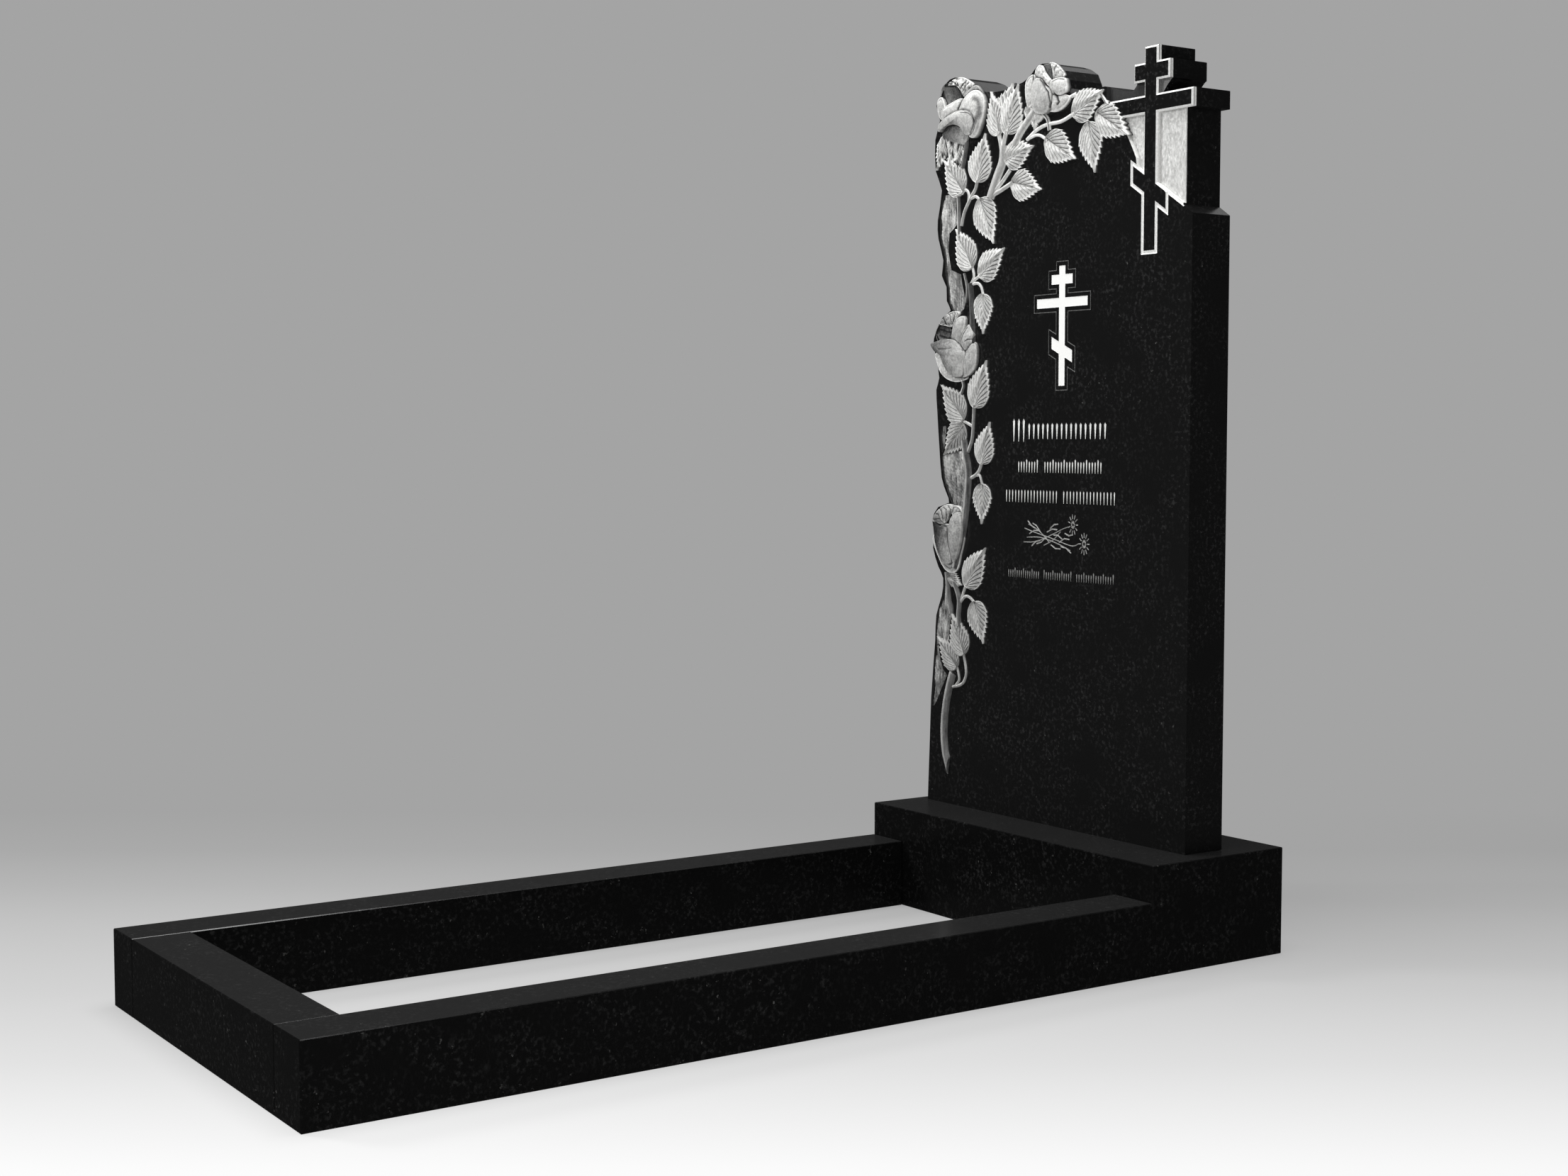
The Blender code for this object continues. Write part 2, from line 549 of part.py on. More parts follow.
def make_stele(material):
    """The carved upright, one piece of stone."""
    stele = finish_object("stele", prism(outline_of_slab(), 0.0, STELE_THICKNESS), material)
    cuts = bpy.data.collections.new("cuts")
    relief = bpy.data.collections.new("relief")
    for collection in (cuts, relief):
        bpy.context.scene.collection.children.link(collection)
    for i, outline in enumerate(panels()):
        helper(prism(outline, CUTTER_CLEARANCE, PANEL_RECESS), f"cut_panel_{i}", cuts)
    for i, outline in enumerate(GROUND):
        helper(prism(outline, CUTTER_CLEARANCE, GROUND_RECESS), f"cut_ground_{i}", cuts)
    for i, outline in enumerate(HOLLOWS):
        helper(prism(outline, CUTTER_CLEARANCE, HOLLOW_RECESS), f"cut_hollow_{i}", cuts)
    mouth = 1000 * GROOVE_WIDTH / 2 * (1 + CUTTER_CLEARANCE / GROOVE_DEPTH)
    groove = [(-mouth, CUTTER_CLEARANCE), (mouth, CUTTER_CLEARANCE), (0, -GROOVE_DEPTH)]
    helper(sweep(CROSS, groove, closed=True), "cut_cross_line", cuts)
    made = 0
    for values in LEAVES:
        helper(leaf(*values, BURIED + made * BURIED_STEP), f"join_leaf_{made}", relief)
        made += 1
    for width, path in STEMS:
        helper(stem(path, width, BURIED + made * BURIED_STEP), f"join_stem_{made}", relief)
        made += 1
    for bloom in BLOOMS:
        for rim, dome, outline in bloom:
            helper(petal(outline, rim, dome, BURIED + made * BURIED_STEP), f"join_petal_{made}", relief)
            made += 1
    boolean(stele, "Cut back", "DIFFERENCE", cuts)
    boolean(stele, "Carving", "UNION", relief)
    return stele


def make_base(material):
    """The plinth and the three kerbs of the flower bed."""
    side = PLINTH_WIDTH / 2
    inner = side - SIDE_KERB_WIDTH
    bed_end = PLINTH_FRONT_Y - JOINT
    plinth_back = PLINTH_FRONT_Y + PLINTH_DEPTH
    front_end = BED_FRONT_Y + FRONT_KERB_WIDTH
    stones = {
        "plinth": ((-side, PLINTH_FRONT_Y, 0), (side, plinth_back, PLINTH_HEIGHT)),
        "kerb_left": ((-side, BED_FRONT_Y, 0), (-inner, bed_end, KERB_HEIGHT)),
        "kerb_right": ((inner, BED_FRONT_Y, 0), (side, bed_end, KERB_HEIGHT)),
        "kerb_front": ((-inner + JOINT, BED_FRONT_Y, 0), (inner - JOINT, front_end, KERB_HEIGHT)),
    }
    for name, (low, high) in stones.items():
        block(name, low, high, material)


def main():
    """Build the whole memorial."""
    for obj in list(bpy.data.objects):
        bpy.data.objects.remove(obj, do_unlink=True)
    polished = granite("polished black granite", GRANITE_SHADE, GRANITE_ROUGHNESS)
    make_base(polished)
    make_stele(polished)


main()
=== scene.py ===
"""Looks of a carved black granite headstone that stands on a plinth behind an open flower bed.

The carved face is drawn in millimetres: x from the face's middle line and z from the ground. A third
number says how far a point stands proud of the polished face.
"""

import json
import logging
import math
from collections.abc import Callable, Iterable, Sequence
from dataclasses import dataclass, field
from enum import Enum

import bmesh
import bpy
from mathutils import Euler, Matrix, Vector, kdtree, noise

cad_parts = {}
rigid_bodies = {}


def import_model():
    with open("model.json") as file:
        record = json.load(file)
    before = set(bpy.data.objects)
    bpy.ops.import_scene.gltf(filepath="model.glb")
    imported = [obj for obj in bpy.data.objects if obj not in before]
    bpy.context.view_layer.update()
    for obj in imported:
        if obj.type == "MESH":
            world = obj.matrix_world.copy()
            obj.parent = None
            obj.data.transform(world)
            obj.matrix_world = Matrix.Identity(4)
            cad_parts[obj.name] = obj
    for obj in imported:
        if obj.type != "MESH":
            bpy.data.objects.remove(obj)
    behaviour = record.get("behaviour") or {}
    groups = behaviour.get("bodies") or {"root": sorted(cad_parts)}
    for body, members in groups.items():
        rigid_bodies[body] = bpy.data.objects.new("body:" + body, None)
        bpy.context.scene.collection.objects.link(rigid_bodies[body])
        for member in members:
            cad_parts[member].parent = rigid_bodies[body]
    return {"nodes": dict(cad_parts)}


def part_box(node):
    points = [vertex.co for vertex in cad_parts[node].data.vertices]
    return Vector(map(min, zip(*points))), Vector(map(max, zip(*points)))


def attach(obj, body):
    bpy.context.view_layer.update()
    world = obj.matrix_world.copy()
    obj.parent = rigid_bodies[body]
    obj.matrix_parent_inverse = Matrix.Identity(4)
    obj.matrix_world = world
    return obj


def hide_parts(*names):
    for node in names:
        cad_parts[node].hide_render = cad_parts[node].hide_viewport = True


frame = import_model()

LOG = logging.getLogger("headstone")
MM = 0.001
BODY = "root"
Drawn = tuple[float, float]
Placed = tuple[float, float, float, float]
Rgba = tuple[float, float, float, float]
Tree = bpy.types.NodeTree
Socket = bpy.types.NodeSocket


# ---- Shared helpers


def linear(colour: str) -> Rgba:
    """Turn an sRGB hex colour into the linear values that Blender's sockets hold.

    Args:
        colour: Six hex digits after a hash sign.

    Returns:
        Red, green, blue and an alpha of one.
    """
    parts = [int(colour[i : i + 2], 16) / 255 for i in (1, 3, 5)]
    made = [c / 12.92 if c <= 0.04045 else ((c + 0.055) / 1.055) ** 2.4 for c in parts]
    return (made[0], made[1], made[2], 1.0)


def add_node(
    tree: Tree, kind: str, sockets: dict | None = None, **settings: object
) -> bpy.types.Node:
    """Add a node with its settings, its values and the links into it.

    Args:
        tree: Node tree that takes the node.
        kind: Blender's name for the type of node.
        sockets: Input name or index to a value, or to the output socket that feeds it.
        settings: Attributes of the node itself.

    Returns:
        The new node.
    """
    made = tree.nodes.new(kind)
    for name, value in settings.items():
        setattr(made, name, value)
    for name, value in (sockets or {}).items():
        if isinstance(value, Socket):
            tree.links.new(value, made.inputs[name])
        else:
            made.inputs[name].default_value = value
    return made


def new_material(name: str) -> tuple[bpy.types.Material, Tree, bpy.types.Node]:
    """Start a material, and give it with its node tree and its shader."""
    material = bpy.data.materials.new(name)
    material.use_nodes = True
    return material, material.node_tree, material.node_tree.nodes["Principled BSDF"]


def object_place(tree: Tree) -> Socket:
    """Read a point's own place in the object, in metres."""
    return add_node(tree, "ShaderNodeTexCoord").outputs["Object"]


def grains(tree: Tree, place: Socket, size_mm: float, detail: float) -> Socket:
    """Draw noise whose grains have a size in millimetres, over places in metres."""
    sockets = {"Vector": place, "Scale": 1000 / size_mm, "Detail": detail, "Roughness": 0.6}
    return add_node(tree, "ShaderNodeTexNoise", sockets).outputs["Fac"]


def spread(
    tree: Tree,
    value: Socket,
    from_range: tuple[float, float],
    to_range: tuple[float, float] = (0.0, 1.0),
    **settings: object,
) -> Socket:
    """Map a value from one range to another.

    Args:
        tree: Node tree that takes the node.
        value: What is mapped.
        from_range: The two values that are mapped to the ends of the other range.
        to_range: Those two ends.
        settings: Attributes of the node itself.

    Returns:
        The mapped value.
    """
    sockets = {
        "Value": value,
        "From Min": from_range[0],
        "From Max": from_range[1],
        "To Min": to_range[0],
        "To Max": to_range[1],
    }
    return add_node(tree, "ShaderNodeMapRange", sockets, **settings).outputs[0]


def combine(tree: Tree, operation: str, first: Socket, second: Socket, clamp: bool = False) -> Socket:
    """Combine two values by one of Blender's operations, kept from zero to one if clamp is true."""
    sockets = {0: first, 1: second}
    return add_node(tree, "ShaderNodeMath", sockets, operation=operation, use_clamp=clamp).outputs[0]


def blend(tree: Tree, share: Socket, first: Socket | Rgba, second: Socket | Rgba) -> Socket:
    """Blend from the first colour at a share of zero to the second at one."""
    sockets = {"Factor": share, 6: first, 7: second}
    return add_node(tree, "ShaderNodeMix", sockets, data_type="RGBA").outputs[2]


def colour_ramp(tree: Tree, value: Socket, stops: Sequence[tuple[float, str]]) -> Socket:
    """Colour a value.

    Args:
        tree: Node tree that takes the ramp.
        value: What is coloured.
        stops: Positions from zero to one, each with its sRGB hex colour.

    Returns:
        The colour.
    """
    ramp = add_node(tree, "ShaderNodeValToRGB", {"Fac": value})
    marks = ramp.color_ramp.elements
    while len(marks) < len(stops):
        marks.new(0.5)
    for mark, (position, colour) in zip(marks, stops):
        mark.position = position
        mark.color = linear(colour)
    return ramp.outputs["Color"]


def smooth_curve(points: Sequence[Drawn], steps: int, closed: bool = False) -> list[Vector]:
    """Draw a smooth curve through points.

    Args:
        points: Drawn points to pass through.
        steps: Pieces between each two points.
        closed: True for a loop, which then doesn't repeat its first point.

    Returns:
        The curve's points.
    """
    count = len(points)
    result: list[Vector] = []
    for i in range(count if closed else count - 1):
        near = [(i + k) % count if closed else min(max(i + k, 0), count - 1) for k in (-1, 0, 1, 2)]
        a, b, c, d = (Vector(points[k]) for k in near)
        slope = (c - a) / 2
        bend = a - 2.5 * b + 2 * c - d / 2
        twist = 1.5 * (b - c) + (d - a) / 2
        for step in range(steps):
            t = step / steps
            result.append(b + slope * t + bend * t * t + twist * t**3)
    if not closed:
        result.append(Vector(points[-1]))
    return result


def hump(value: float, middle: float, width: float) -> float:
    """Give a bell that is one at its middle and fades over its width."""
    return math.exp(-(((value - middle) / width) ** 2))


def ease(low: float, high: float, value: float) -> float:
    """Rise smoothly from zero at low to one at high."""
    t = min(max((value - low) / (high - low), 0.0), 1.0)
    return t * t * (3 - 2 * t)


def middle_of(outline: Sequence[Drawn]) -> Vector:
    """Give the mean of an outline's points."""
    return sum((Vector(point) for point in outline), Vector((0.0, 0.0))) / len(outline)


def extrude_outline(
    bm: bmesh.types.BMesh, points: Iterable[Vector], depth: float
) -> list[bmesh.types.BMVert]:
    """Draw a face through points and carry it straight back into a block.

    Args:
        bm: The mesh that takes it.
        points: The corners of the face.
        depth: How far it is carried, in millimetres.

    Returns:
        The corners of the block's far side.
    """
    front = bm.faces.new([bm.verts.new(point) for point in points])
    made = bmesh.ops.extrude_face_region(bm, geom=[front])["geom"]
    back = [item for item in made if isinstance(item, bmesh.types.BMVert)]
    bmesh.ops.translate(bm, vec=Vector((0, depth * MM, 0)), verts=back)
    return back


def distance_to_line(place: Vector, line: Sequence[Drawn]) -> float:
    """Measure how far a drawn point is from a line of points, in millimetres."""
    best = 1e9
    for start, end in zip(line, line[1:]):
        a, b = Vector(start), Vector(end)
        along = b - a
        t = min(max((place - a).dot(along) / max(along.length_squared, 1e-9), 0.0), 1.0)
        best = min(best, (place - a - along * t).length)
    return best


# ---- Finishes


class Finish(Enum):
    """The order of the slots on the slab, which its cutters share."""

    POLISHED = 0
    FROSTED = 1
    SOFT = 2
    DIM = 3
    # Matt dark grey that paints the shade in sunk places.
    HONED_AND_SHADED = 4
    PAINTED = 5


@dataclass(frozen=True)
class PolishedGranite:
    """Black gabbro, sawn and polished: dark grey crystals in clouds on near black, and a few pale flecks.

    The real crystals are 1 to 3 mm. They are drawn about twice as coarse, so that the render shows them.
    Level tops are painted a shade paler than the upright faces, as painted light from above. It starts
    where the upward part of the face's direction has the first value of level, and is whole at the
    second.
    """

    name: str = "polished black granite"
    ground: str = "#0c0c0c"
    crystal: str = "#2e2e2e"
    fleck: str = "#6c6c6a"
    lit_top: str = "#383838"
    lit_top_share: float = 0.3
    level: tuple[float, float] = (0.9, 0.99)
    roughness: float = 0.22
    ior: float = 1.5
    crystal_mm: float = 6.0
    fleck_mm: float = 8.0
    cloud_mm: float = 60.0

    def make(self) -> bpy.types.Material:
        """Build the node material."""
        material, tree, shader = new_material(self.name)
        place = object_place(tree)
        gathered = spread(tree, grains(tree, place, self.cloud_mm, 1.0), (0.3, 0.66))
        crystals = spread(tree, grains(tree, place, self.crystal_mm, 3.0), (0.52, 0.76))
        flecks = spread(tree, grains(tree, place, self.fleck_mm, 3.0), (0.68, 0.78))
        body_share = combine(tree, "MULTIPLY", crystals, gathered)
        fleck_share = combine(tree, "MULTIPLY", flecks, gathered)
        body = blend(tree, body_share, linear(self.ground), linear(self.crystal))
        flecked = blend(tree, fleck_share, body, linear(self.fleck))
        # Painted light: faces that look up are blended towards a paler grey, as if lit from above.
        normal = add_node(tree, "ShaderNodeNewGeometry").outputs["Normal"]
        upward = add_node(tree, "ShaderNodeSeparateXYZ", {"Vector": normal}).outputs["Z"]
        lit_top_mask = spread(tree, upward, self.level, (0.0, self.lit_top_share))
        lit_top_colour = blend(tree, lit_top_mask, flecked, linear(self.lit_top))
        tree.links.new(lit_top_colour, shader.inputs["Base Color"])
        shader.inputs["Roughness"].default_value = self.roughness
        shader.inputs["IOR"].default_value = self.ior
        return material


@dataclass(frozen=True)
class CutGranite:
    """Granite opened by a chisel or a jet of grit, which bruises its crystals and leaves them pale, matt.

    With no tone of its own it takes one from each point's frost value, from bare black to the white of a
    cut rim; these values also hold the painted shade and highlights of the carving.
    """

    name: str
    tone: float | None = None
    grain_mm: float = 3.0
    grain: float = 0.05
    roughness: float = 0.85
    specular: float = 0.2
    bump_mm: float = 0.25
    bump_strength: float = 0.6
    tones: tuple[tuple[float, str], ...] = (
        (0.0, "#101010"),
        (0.25, "#3f3f3f"),
        (0.5, "#80807f"),
        (0.75, "#c0c0be"),
        (0.9, "#e6e6e4"),
        (1.0, "#fcfcfa"),
    )

    def make(self) -> bpy.types.Material:
        """Build the node material."""
        material, tree, shader = new_material(self.name)
        grit = grains(tree, object_place(tree), self.grain_mm, 3.0)
        tone = 0.0 if self.tone is None else self.tone
        value = spread(tree, grit, (0.25, 0.75), (tone - self.grain, tone + self.grain))
        if self.tone is None:
            # The frost attribute also holds painted shade and highlights.
            frost_and_shading = add_node(tree, "ShaderNodeAttribute", attribute_name="frost_and_shading")
            value = combine(tree, "ADD", frost_and_shading.outputs["Fac"], value, clamp=True)
        bump = add_node(
            tree,
            "ShaderNodeBump",
            {"Height": grit, "Distance": self.bump_mm * MM, "Strength": self.bump_strength},
        )
        tree.links.new(colour_ramp(tree, value, self.tones), shader.inputs["Base Color"])
        tree.links.new(bump.outputs["Normal"], shader.inputs["Normal"])
        shader.inputs["Roughness"].default_value = self.roughness
        shader.inputs["Specular IOR Level"].default_value = self.specular
        return material


@dataclass
class Finishes:
    """Every material of the memorial, made once."""

    polished: bpy.types.Material = field(default_factory=lambda: PolishedGranite().make())
    slab: bpy.types.Material = field(
        default_factory=lambda: PolishedGranite(
            "polished black granite of a paler block", ground="#141414", crystal="#343434"
        ).make()
    )
    carved: bpy.types.Material = field(default_factory=lambda: CutGranite("carved granite").make())
    frosted: bpy.types.Material = field(
        default_factory=lambda: CutGranite("grit-blasted granite, white", tone=0.94, grain=0.08).make()
    )
    soft: bpy.types.Material = field(
        default_factory=lambda: CutGranite("grit-blasted granite, pale", tone=0.68, grain=0.1).make()
    )
    dim: bpy.types.Material = field(
        default_factory=lambda: CutGranite("grit-blasted granite, grey", tone=0.5, grain=0.1).make()
    )
    # A honed, matt dark grey for sunk places, painted darker as the shade that falls in them.
    honed_and_shaded: bpy.types.Material = field(
        default_factory=lambda: CutGranite("honed granite", tone=0.22, grain=0.06, roughness=0.6).make()
    )
    painted: bpy.types.Material = field(
        default_factory=lambda: CutGranite(
            "white enamel in a shallow cut", tone=1.0, grain=0.02, roughness=0.5, bump_mm=0.05
        ).make()
    )

    def slab_slots(self) -> list[bpy.types.Material]:
        """List the slab's materials in the order of Finish."""
        return [self.slab, self.frosted, self.soft, self.dim, self.honed_and_shaded, self.painted]


# ---- The drawn face and the meshes on it


@dataclass(frozen=True)
class Face:
    """Where the polished face lies in the frame.

    Args:
        y: Its distance from the middle of the memorial, in metres.
        foot_gap: How far the slab stands above its drawn foot, in metres.
        low: Lowest corner of the slab's box.
        high: Highest corner of the slab's box.
    """

    y: float
    foot_gap: float
    low: Vector
    high: Vector

    def at(self, x: float, z: float, proud: float = 0.0) -> Vector:
        """Place a drawn point in the frame.

        Args:
            x: Millimetres from the middle line.
            z: Millimetres from the ground.
            proud: Millimetres in front of the polished face.

        Returns:
            The point, kept inside the slab's box.
        """
        point = self.beyond(x, z, proud)
        point.x = min(max(point.x, self.low.x), self.high.x)
        point.z = min(max(point.z, self.low.z), self.high.z)
        return point

    def beyond(self, x: float, z: float, proud: float) -> Vector:
        """Place a drawn point that may lie outside the slab's box, as a cutter's can."""
        return Vector((x * MM, self.y - proud * MM, z * MM + self.foot_gap))


@dataclass
class Relief:
    """A carved mesh in the making, with a frost value on each vertex, which also holds painted shade and
    highlights.
    """

    face: Face
    buried: float = 7.0
    foot_shadow_frost: float = 0.15
    bm: bmesh.types.BMesh = field(default_factory=bmesh.new)

    def __post_init__(self) -> None:
        """Open the layer that holds the frost and the painted shade."""
        self.frost_and_shading = self.bm.verts.layers.float.new("frost_and_shading")

    def patch(
        self,
        across: int,
        along: int,
        place: Callable[[float, float], Placed],
        buried: float | None = None,
    ) -> None:
        """Add a sheet of stone and close it behind the face.

        Args:
            across: Pieces in the first direction.
            along: Pieces in the second direction.
            place: Gives x, z, proud and frost, painted shade included, for a point of the unit square.
            buried: How far behind the polished face the sheet is closed, in millimetres.
        """
        made = bmesh.ops.create_grid(self.bm, x_segments=across, y_segments=along, size=0.5)
        for vert in made["verts"]:
            x, z, proud, frost_and_shading = place(vert.co.x + 0.5, vert.co.y + 0.5)
            vert.co = self.face.at(x, z, proud)
            vert[self.frost_and_shading] = frost_and_shading
        bmesh.ops.remove_doubles(self.bm, verts=made["verts"], dist=0.02 * MM)
        faces = dict.fromkeys(f for v in made["verts"] if v.is_valid for f in v.link_faces)
        rim = [e for e in dict.fromkeys(e for f in faces for e in f.edges) if e.is_boundary]
        skirt = bmesh.ops.extrude_edge_only(self.bm, edges=rim)["geom"]
        depth = self.buried if buried is None else buried
        for item in skirt:
            if isinstance(item, bmesh.types.BMVert):
                item.co.y = self.face.y + depth * MM
                # The foot of each buried wall is painted dark as shadow.
                item[self.frost_and_shading] = self.foot_shadow_frost
        back = [e for e in skirt if isinstance(e, bmesh.types.BMEdge) and e.is_boundary]
        bmesh.ops.holes_fill(self.bm, edges=back, sides=0)

    def finish(self, name: str, material: bpy.types.Material, sharp: float = 50.0) -> bpy.types.Object:
        """Turn the mesh into a piece.

        Args:
            name: The piece's name.
            material: Its finish.
            sharp: Edges that turn by more than this many degrees stay crisp.

        Returns:
            The finished object.
        """
        bmesh.ops.recalc_face_normals(self.bm, faces=self.bm.faces)
        return finish_piece(self.bm, name, [material], sharp)


def finish_piece(
    bm: bmesh.types.BMesh, name: str, materials: Sequence[bpy.types.Material], sharp: float | None
) -> bpy.types.Object:
    """Make an object of a bmesh and put it in the scene.

    Args:
        bm: The mesh, which is used up.
        name: The piece's name.
        materials: Its slots, in order.
        sharp: Edges that turn by more than this many degrees stay crisp, or None for flat faces.

    Returns:
        The object, in the scene.
    """
    mesh = bpy.data.meshes.new(name)
    bm.to_mesh(mesh)
    bm.free()
    for material in materials:
        mesh.materials.append(material)
    if sharp is not None:
        mesh.shade_smooth()
        mesh.set_sharp_from_angle(angle=math.radians(sharp))
    piece = bpy.data.objects.new(name, mesh)
    bpy.context.scene.collection.objects.link(piece)
    return piece


def finish_cutter(
    bm: bmesh.types.BMesh, name: str, finish: Finish, finishes: Finishes
) -> bpy.types.Object:
    """Make a cutter of a closed bmesh, which leaves one finish behind."""
    bmesh.ops.recalc_face_normals(bm, faces=bm.faces)
    for item in bm.faces:
        item.material_index = finish.value
    return finish_piece(bm, name, finishes.slab_slots(), None)


# ---- The slab

# The large cross, in drawn millimetres. The slanted bar's low and high are those of its two edges where
# they meet the stem's left side.
STEM_LEFT, STEM_RIGHT, STEM_TOP, STEM_FOOT = 204.0, 234.0, 1401.0, 1088.0
SHORT_LEFT, SHORT_RIGHT, SHORT_LOW, SHORT_HIGH = 181.0, 259.5, 1348.5, 1377.0
LONG_LEFT, LONG_RIGHT, LONG_LOW, LONG_HIGH = 131.0, 309.5, 1299.5, 1327.5
BAR_LEFT, BAR_RIGHT, BAR_LOW, BAR_HIGH = 179.0, 257.0, 1179.0, 1212.0
BAR_SLOPE = -0.632
DRAWN_FOOT = 167.5


def bar_edge(x: float) -> float:
    """Give the height of the slanted bar's upper edge at x."""
    return BAR_HIGH + BAR_SLOPE * (x - STEM_LEFT)


def slanted_cross(
    stem: tuple[float, float, float, float],
    short: tuple[float, float, float, float],
    long: tuple[float, float, float, float],
    bar: tuple[float, float, float, float],
    slope: float,
) -> list[Drawn]:
    """Outline a cross with two level arms and a slanted foot bar, clockwise from the top left.

    Args:
        stem: Left, right, top and foot.
        short: Left, right, low and high of the upper arm.
        long: Left, right, low and high of the long arm.
        bar: Left, right, and the low and high edge's height where they meet the stem's left side.
        slope: Rise of the slanted bar to the right.

    Returns:
        The outline's 28 corners.
    """
    left, right, top, foot = stem

    def edge(x: float, height: float) -> Drawn:
        return (x, height + slope * (x - left))

    return [
        (left, top),
        (right, top),
        (right, short[3]),
        (short[1], short[3]),
        (short[1], short[2]),
        (right, short[2]),
        (right, long[3]),
        (long[1], long[3]),
        (long[1], long[2]),
        (right, long[2]),
        edge(right, bar[3]),
        edge(bar[1], bar[3]),
        edge(bar[1], bar[2]),
        edge(right, bar[2]),
        (right, foot),
        (left, foot),
        edge(left, bar[2]),
        edge(bar[0], bar[2]),
        edge(bar[0], bar[3]),
        edge(left, bar[3]),
        (left, long[2]),
        (long[0], long[2]),
        (long[0], long[3]),
        (left, long[3]),
        (left, short[2]),
        (short[0], short[2]),
        (short[0], short[3]),
        (left, short[3]),
    ]


@dataclass
class Slab:
    """The upright: its outline through the full thickness, its cross, its sunk panels and its marks.

    Args:
        face: The drawn face.
        thickness: From the polished face to the back, in millimetres, as are all the sizes here.
        panel_depth: How deep the panels beside the cross are sunk.
        hollow_depth: How deep the hollows between the petals are sunk.
        ground_depth: How deep the rough stone's beds are sunk.
        rim_width: Width of the cut line round the cross.
        rim_depth: Its depth.
        back_arris: Bevel of the back's edges.
        strip: The two depths between which the cross's walls are frosted.
        neck: Where the edge beside the slanted bar stands, where it ends, and where its shoulder ends.
        foot: Left and right end of the foot.
        panel_ends: Left and right end of the panels.
        left_edge: The wavy edge, from the foot up and along the top to the cross.
        top_edge: From there to the short arm.
        arch: The curved side of the panel left of the stem.
    """

    face: Face
    thickness: float = 80.0
    panel_depth: float = 8.0
    hollow_depth: float = 8.0
    ground_depth: float = 7.0
    rim_width: float = 5.8
    rim_depth: float = 2.2
    back_arris: float = 3.0
    strip: tuple[float, float] = (3.2, 7.6)
    neck: tuple[float, float, float] = (290.6, 1154.7, 1140.4)
    foot: tuple[float, float] = (-328.0, 312.4)
    panel_ends: tuple[float, float] = (120.0, 331.0)
    left_edge: tuple[Drawn, ...] = (
        (-320.0, 345), (-314, 405), (-309, 450), (-306, 495), (-291, 529), (-287, 560),
        (-301, 580), (-316, 612), (-312, 638), (-319, 661), (-302, 684), (-272, 692),
        (-280, 710), (-293, 736), (-300, 790), (-306, 850), (-309, 888), (-301, 908),
        (-310, 945), (-318, 967), (-311, 988), (-292, 1012), (-270, 1023),
        (-281, 1040), (-282, 1064), (-295, 1084), (-291, 1110), (-305, 1148),
        (-307, 1180), (-296, 1230), (-313, 1264), (-315, 1318), (-302, 1350),
        (-312, 1376), (-296, 1396), (-286, 1411), (-262, 1418), (-222, 1407), (-184, 1384),
        (-135, 1379), (-82, 1386), (-60, 1397), (-46, 1407), (-20, 1408),
        (14, 1392), (27, 1362), (38, 1352),
    )  # fmt: skip
    top_edge: tuple[Drawn, ...] = (
        (116.0, 1353), (142, 1345), (164, 1339), (174, 1341), (SHORT_LEFT, SHORT_LOW),
    )  # fmt: skip
    arch: tuple[Drawn, ...] = (
        (150.0, LONG_LOW), (166, 1274), (178, 1254), (188, 1235), (190, 1220.8),
    )  # fmt: skip

    def cross(self) -> list[Drawn]:
        """Outline the large cross."""
        return slanted_cross(
            (STEM_LEFT, STEM_RIGHT, STEM_TOP, STEM_FOOT),
            (SHORT_LEFT, SHORT_RIGHT, SHORT_LOW, SHORT_HIGH),
            (LONG_LEFT, LONG_RIGHT, LONG_LOW, LONG_HIGH),
            (BAR_LEFT, BAR_RIGHT, BAR_LOW, BAR_HIGH),
            BAR_SLOPE,
        )

    def outline(self) -> list[Drawn]:
        """Outline the whole slab, clockwise from its lower left corner."""
        cross = self.cross()
        left = [tuple(p) for p in smooth_curve(self.left_edge, 2)]
        top = [tuple(p) for p in smooth_curve(self.top_edge, 2)]
        notch = [(SHORT_RIGHT - 4, SHORT_LOW - 2), (247.0, 1339.0), (STEM_RIGHT + 3, LONG_HIGH)]
        neck_x, neck_foot, shoulder = self.neck
        foot_left, foot_right = self.foot
        right = [(neck_x, LONG_LOW), (neck_x, neck_foot), (foot_right, shoulder)]
        crown = [*top[:-1], *cross[25:], *cross[:5], *notch, *cross[7:9]]
        return [(foot_left, DRAWN_FOOT), *left, *crown, *right, (foot_right, DRAWN_FOOT)]

    def block(self) -> bmesh.types.BMesh:
        """Build the uncut slab, with a frosted strip along the walls of the cross."""
        bm = bmesh.new()
        back = set(extrude_outline(bm, [self.face.at(x, z) for x, z in self.outline()], self.thickness))
        bmesh.ops.recalc_face_normals(bm, faces=bm.faces)
        rim = [e for e in bm.edges if all(v in back for v in e.verts)]
        bmesh.ops.bevel(
            bm,
            geom=rim,
            offset=self.back_arris * MM,
            segments=3,
            profile=0.5,
            affect="EDGES",
            clamp_overlap=True,
            material=-1,
        )
        for depth in self.strip:
            bmesh.ops.bisect_plane(
                bm,
                geom=bm.verts[:] + bm.edges[:] + bm.faces[:],
                plane_co=Vector((0, self.face.y + depth * MM, 0)),
                plane_no=Vector((0, 1, 0)),
            )
        for item in bm.faces:
            middle = item.calc_center_median()
            depth = (middle.y - self.face.y) / MM
            on_cross = middle.x > (LONG_LEFT - 0.5) * MM and middle.z > (LONG_LOW - 2) * MM
            past_top_curve = middle.x > (SHORT_LEFT + 0.5) * MM or middle.z > SHORT_HIGH * MM
            if self.strip[0] < depth < self.strip[1] and on_cross and past_top_curve:
                item.material_index = Finish.FROSTED.value
        return bm

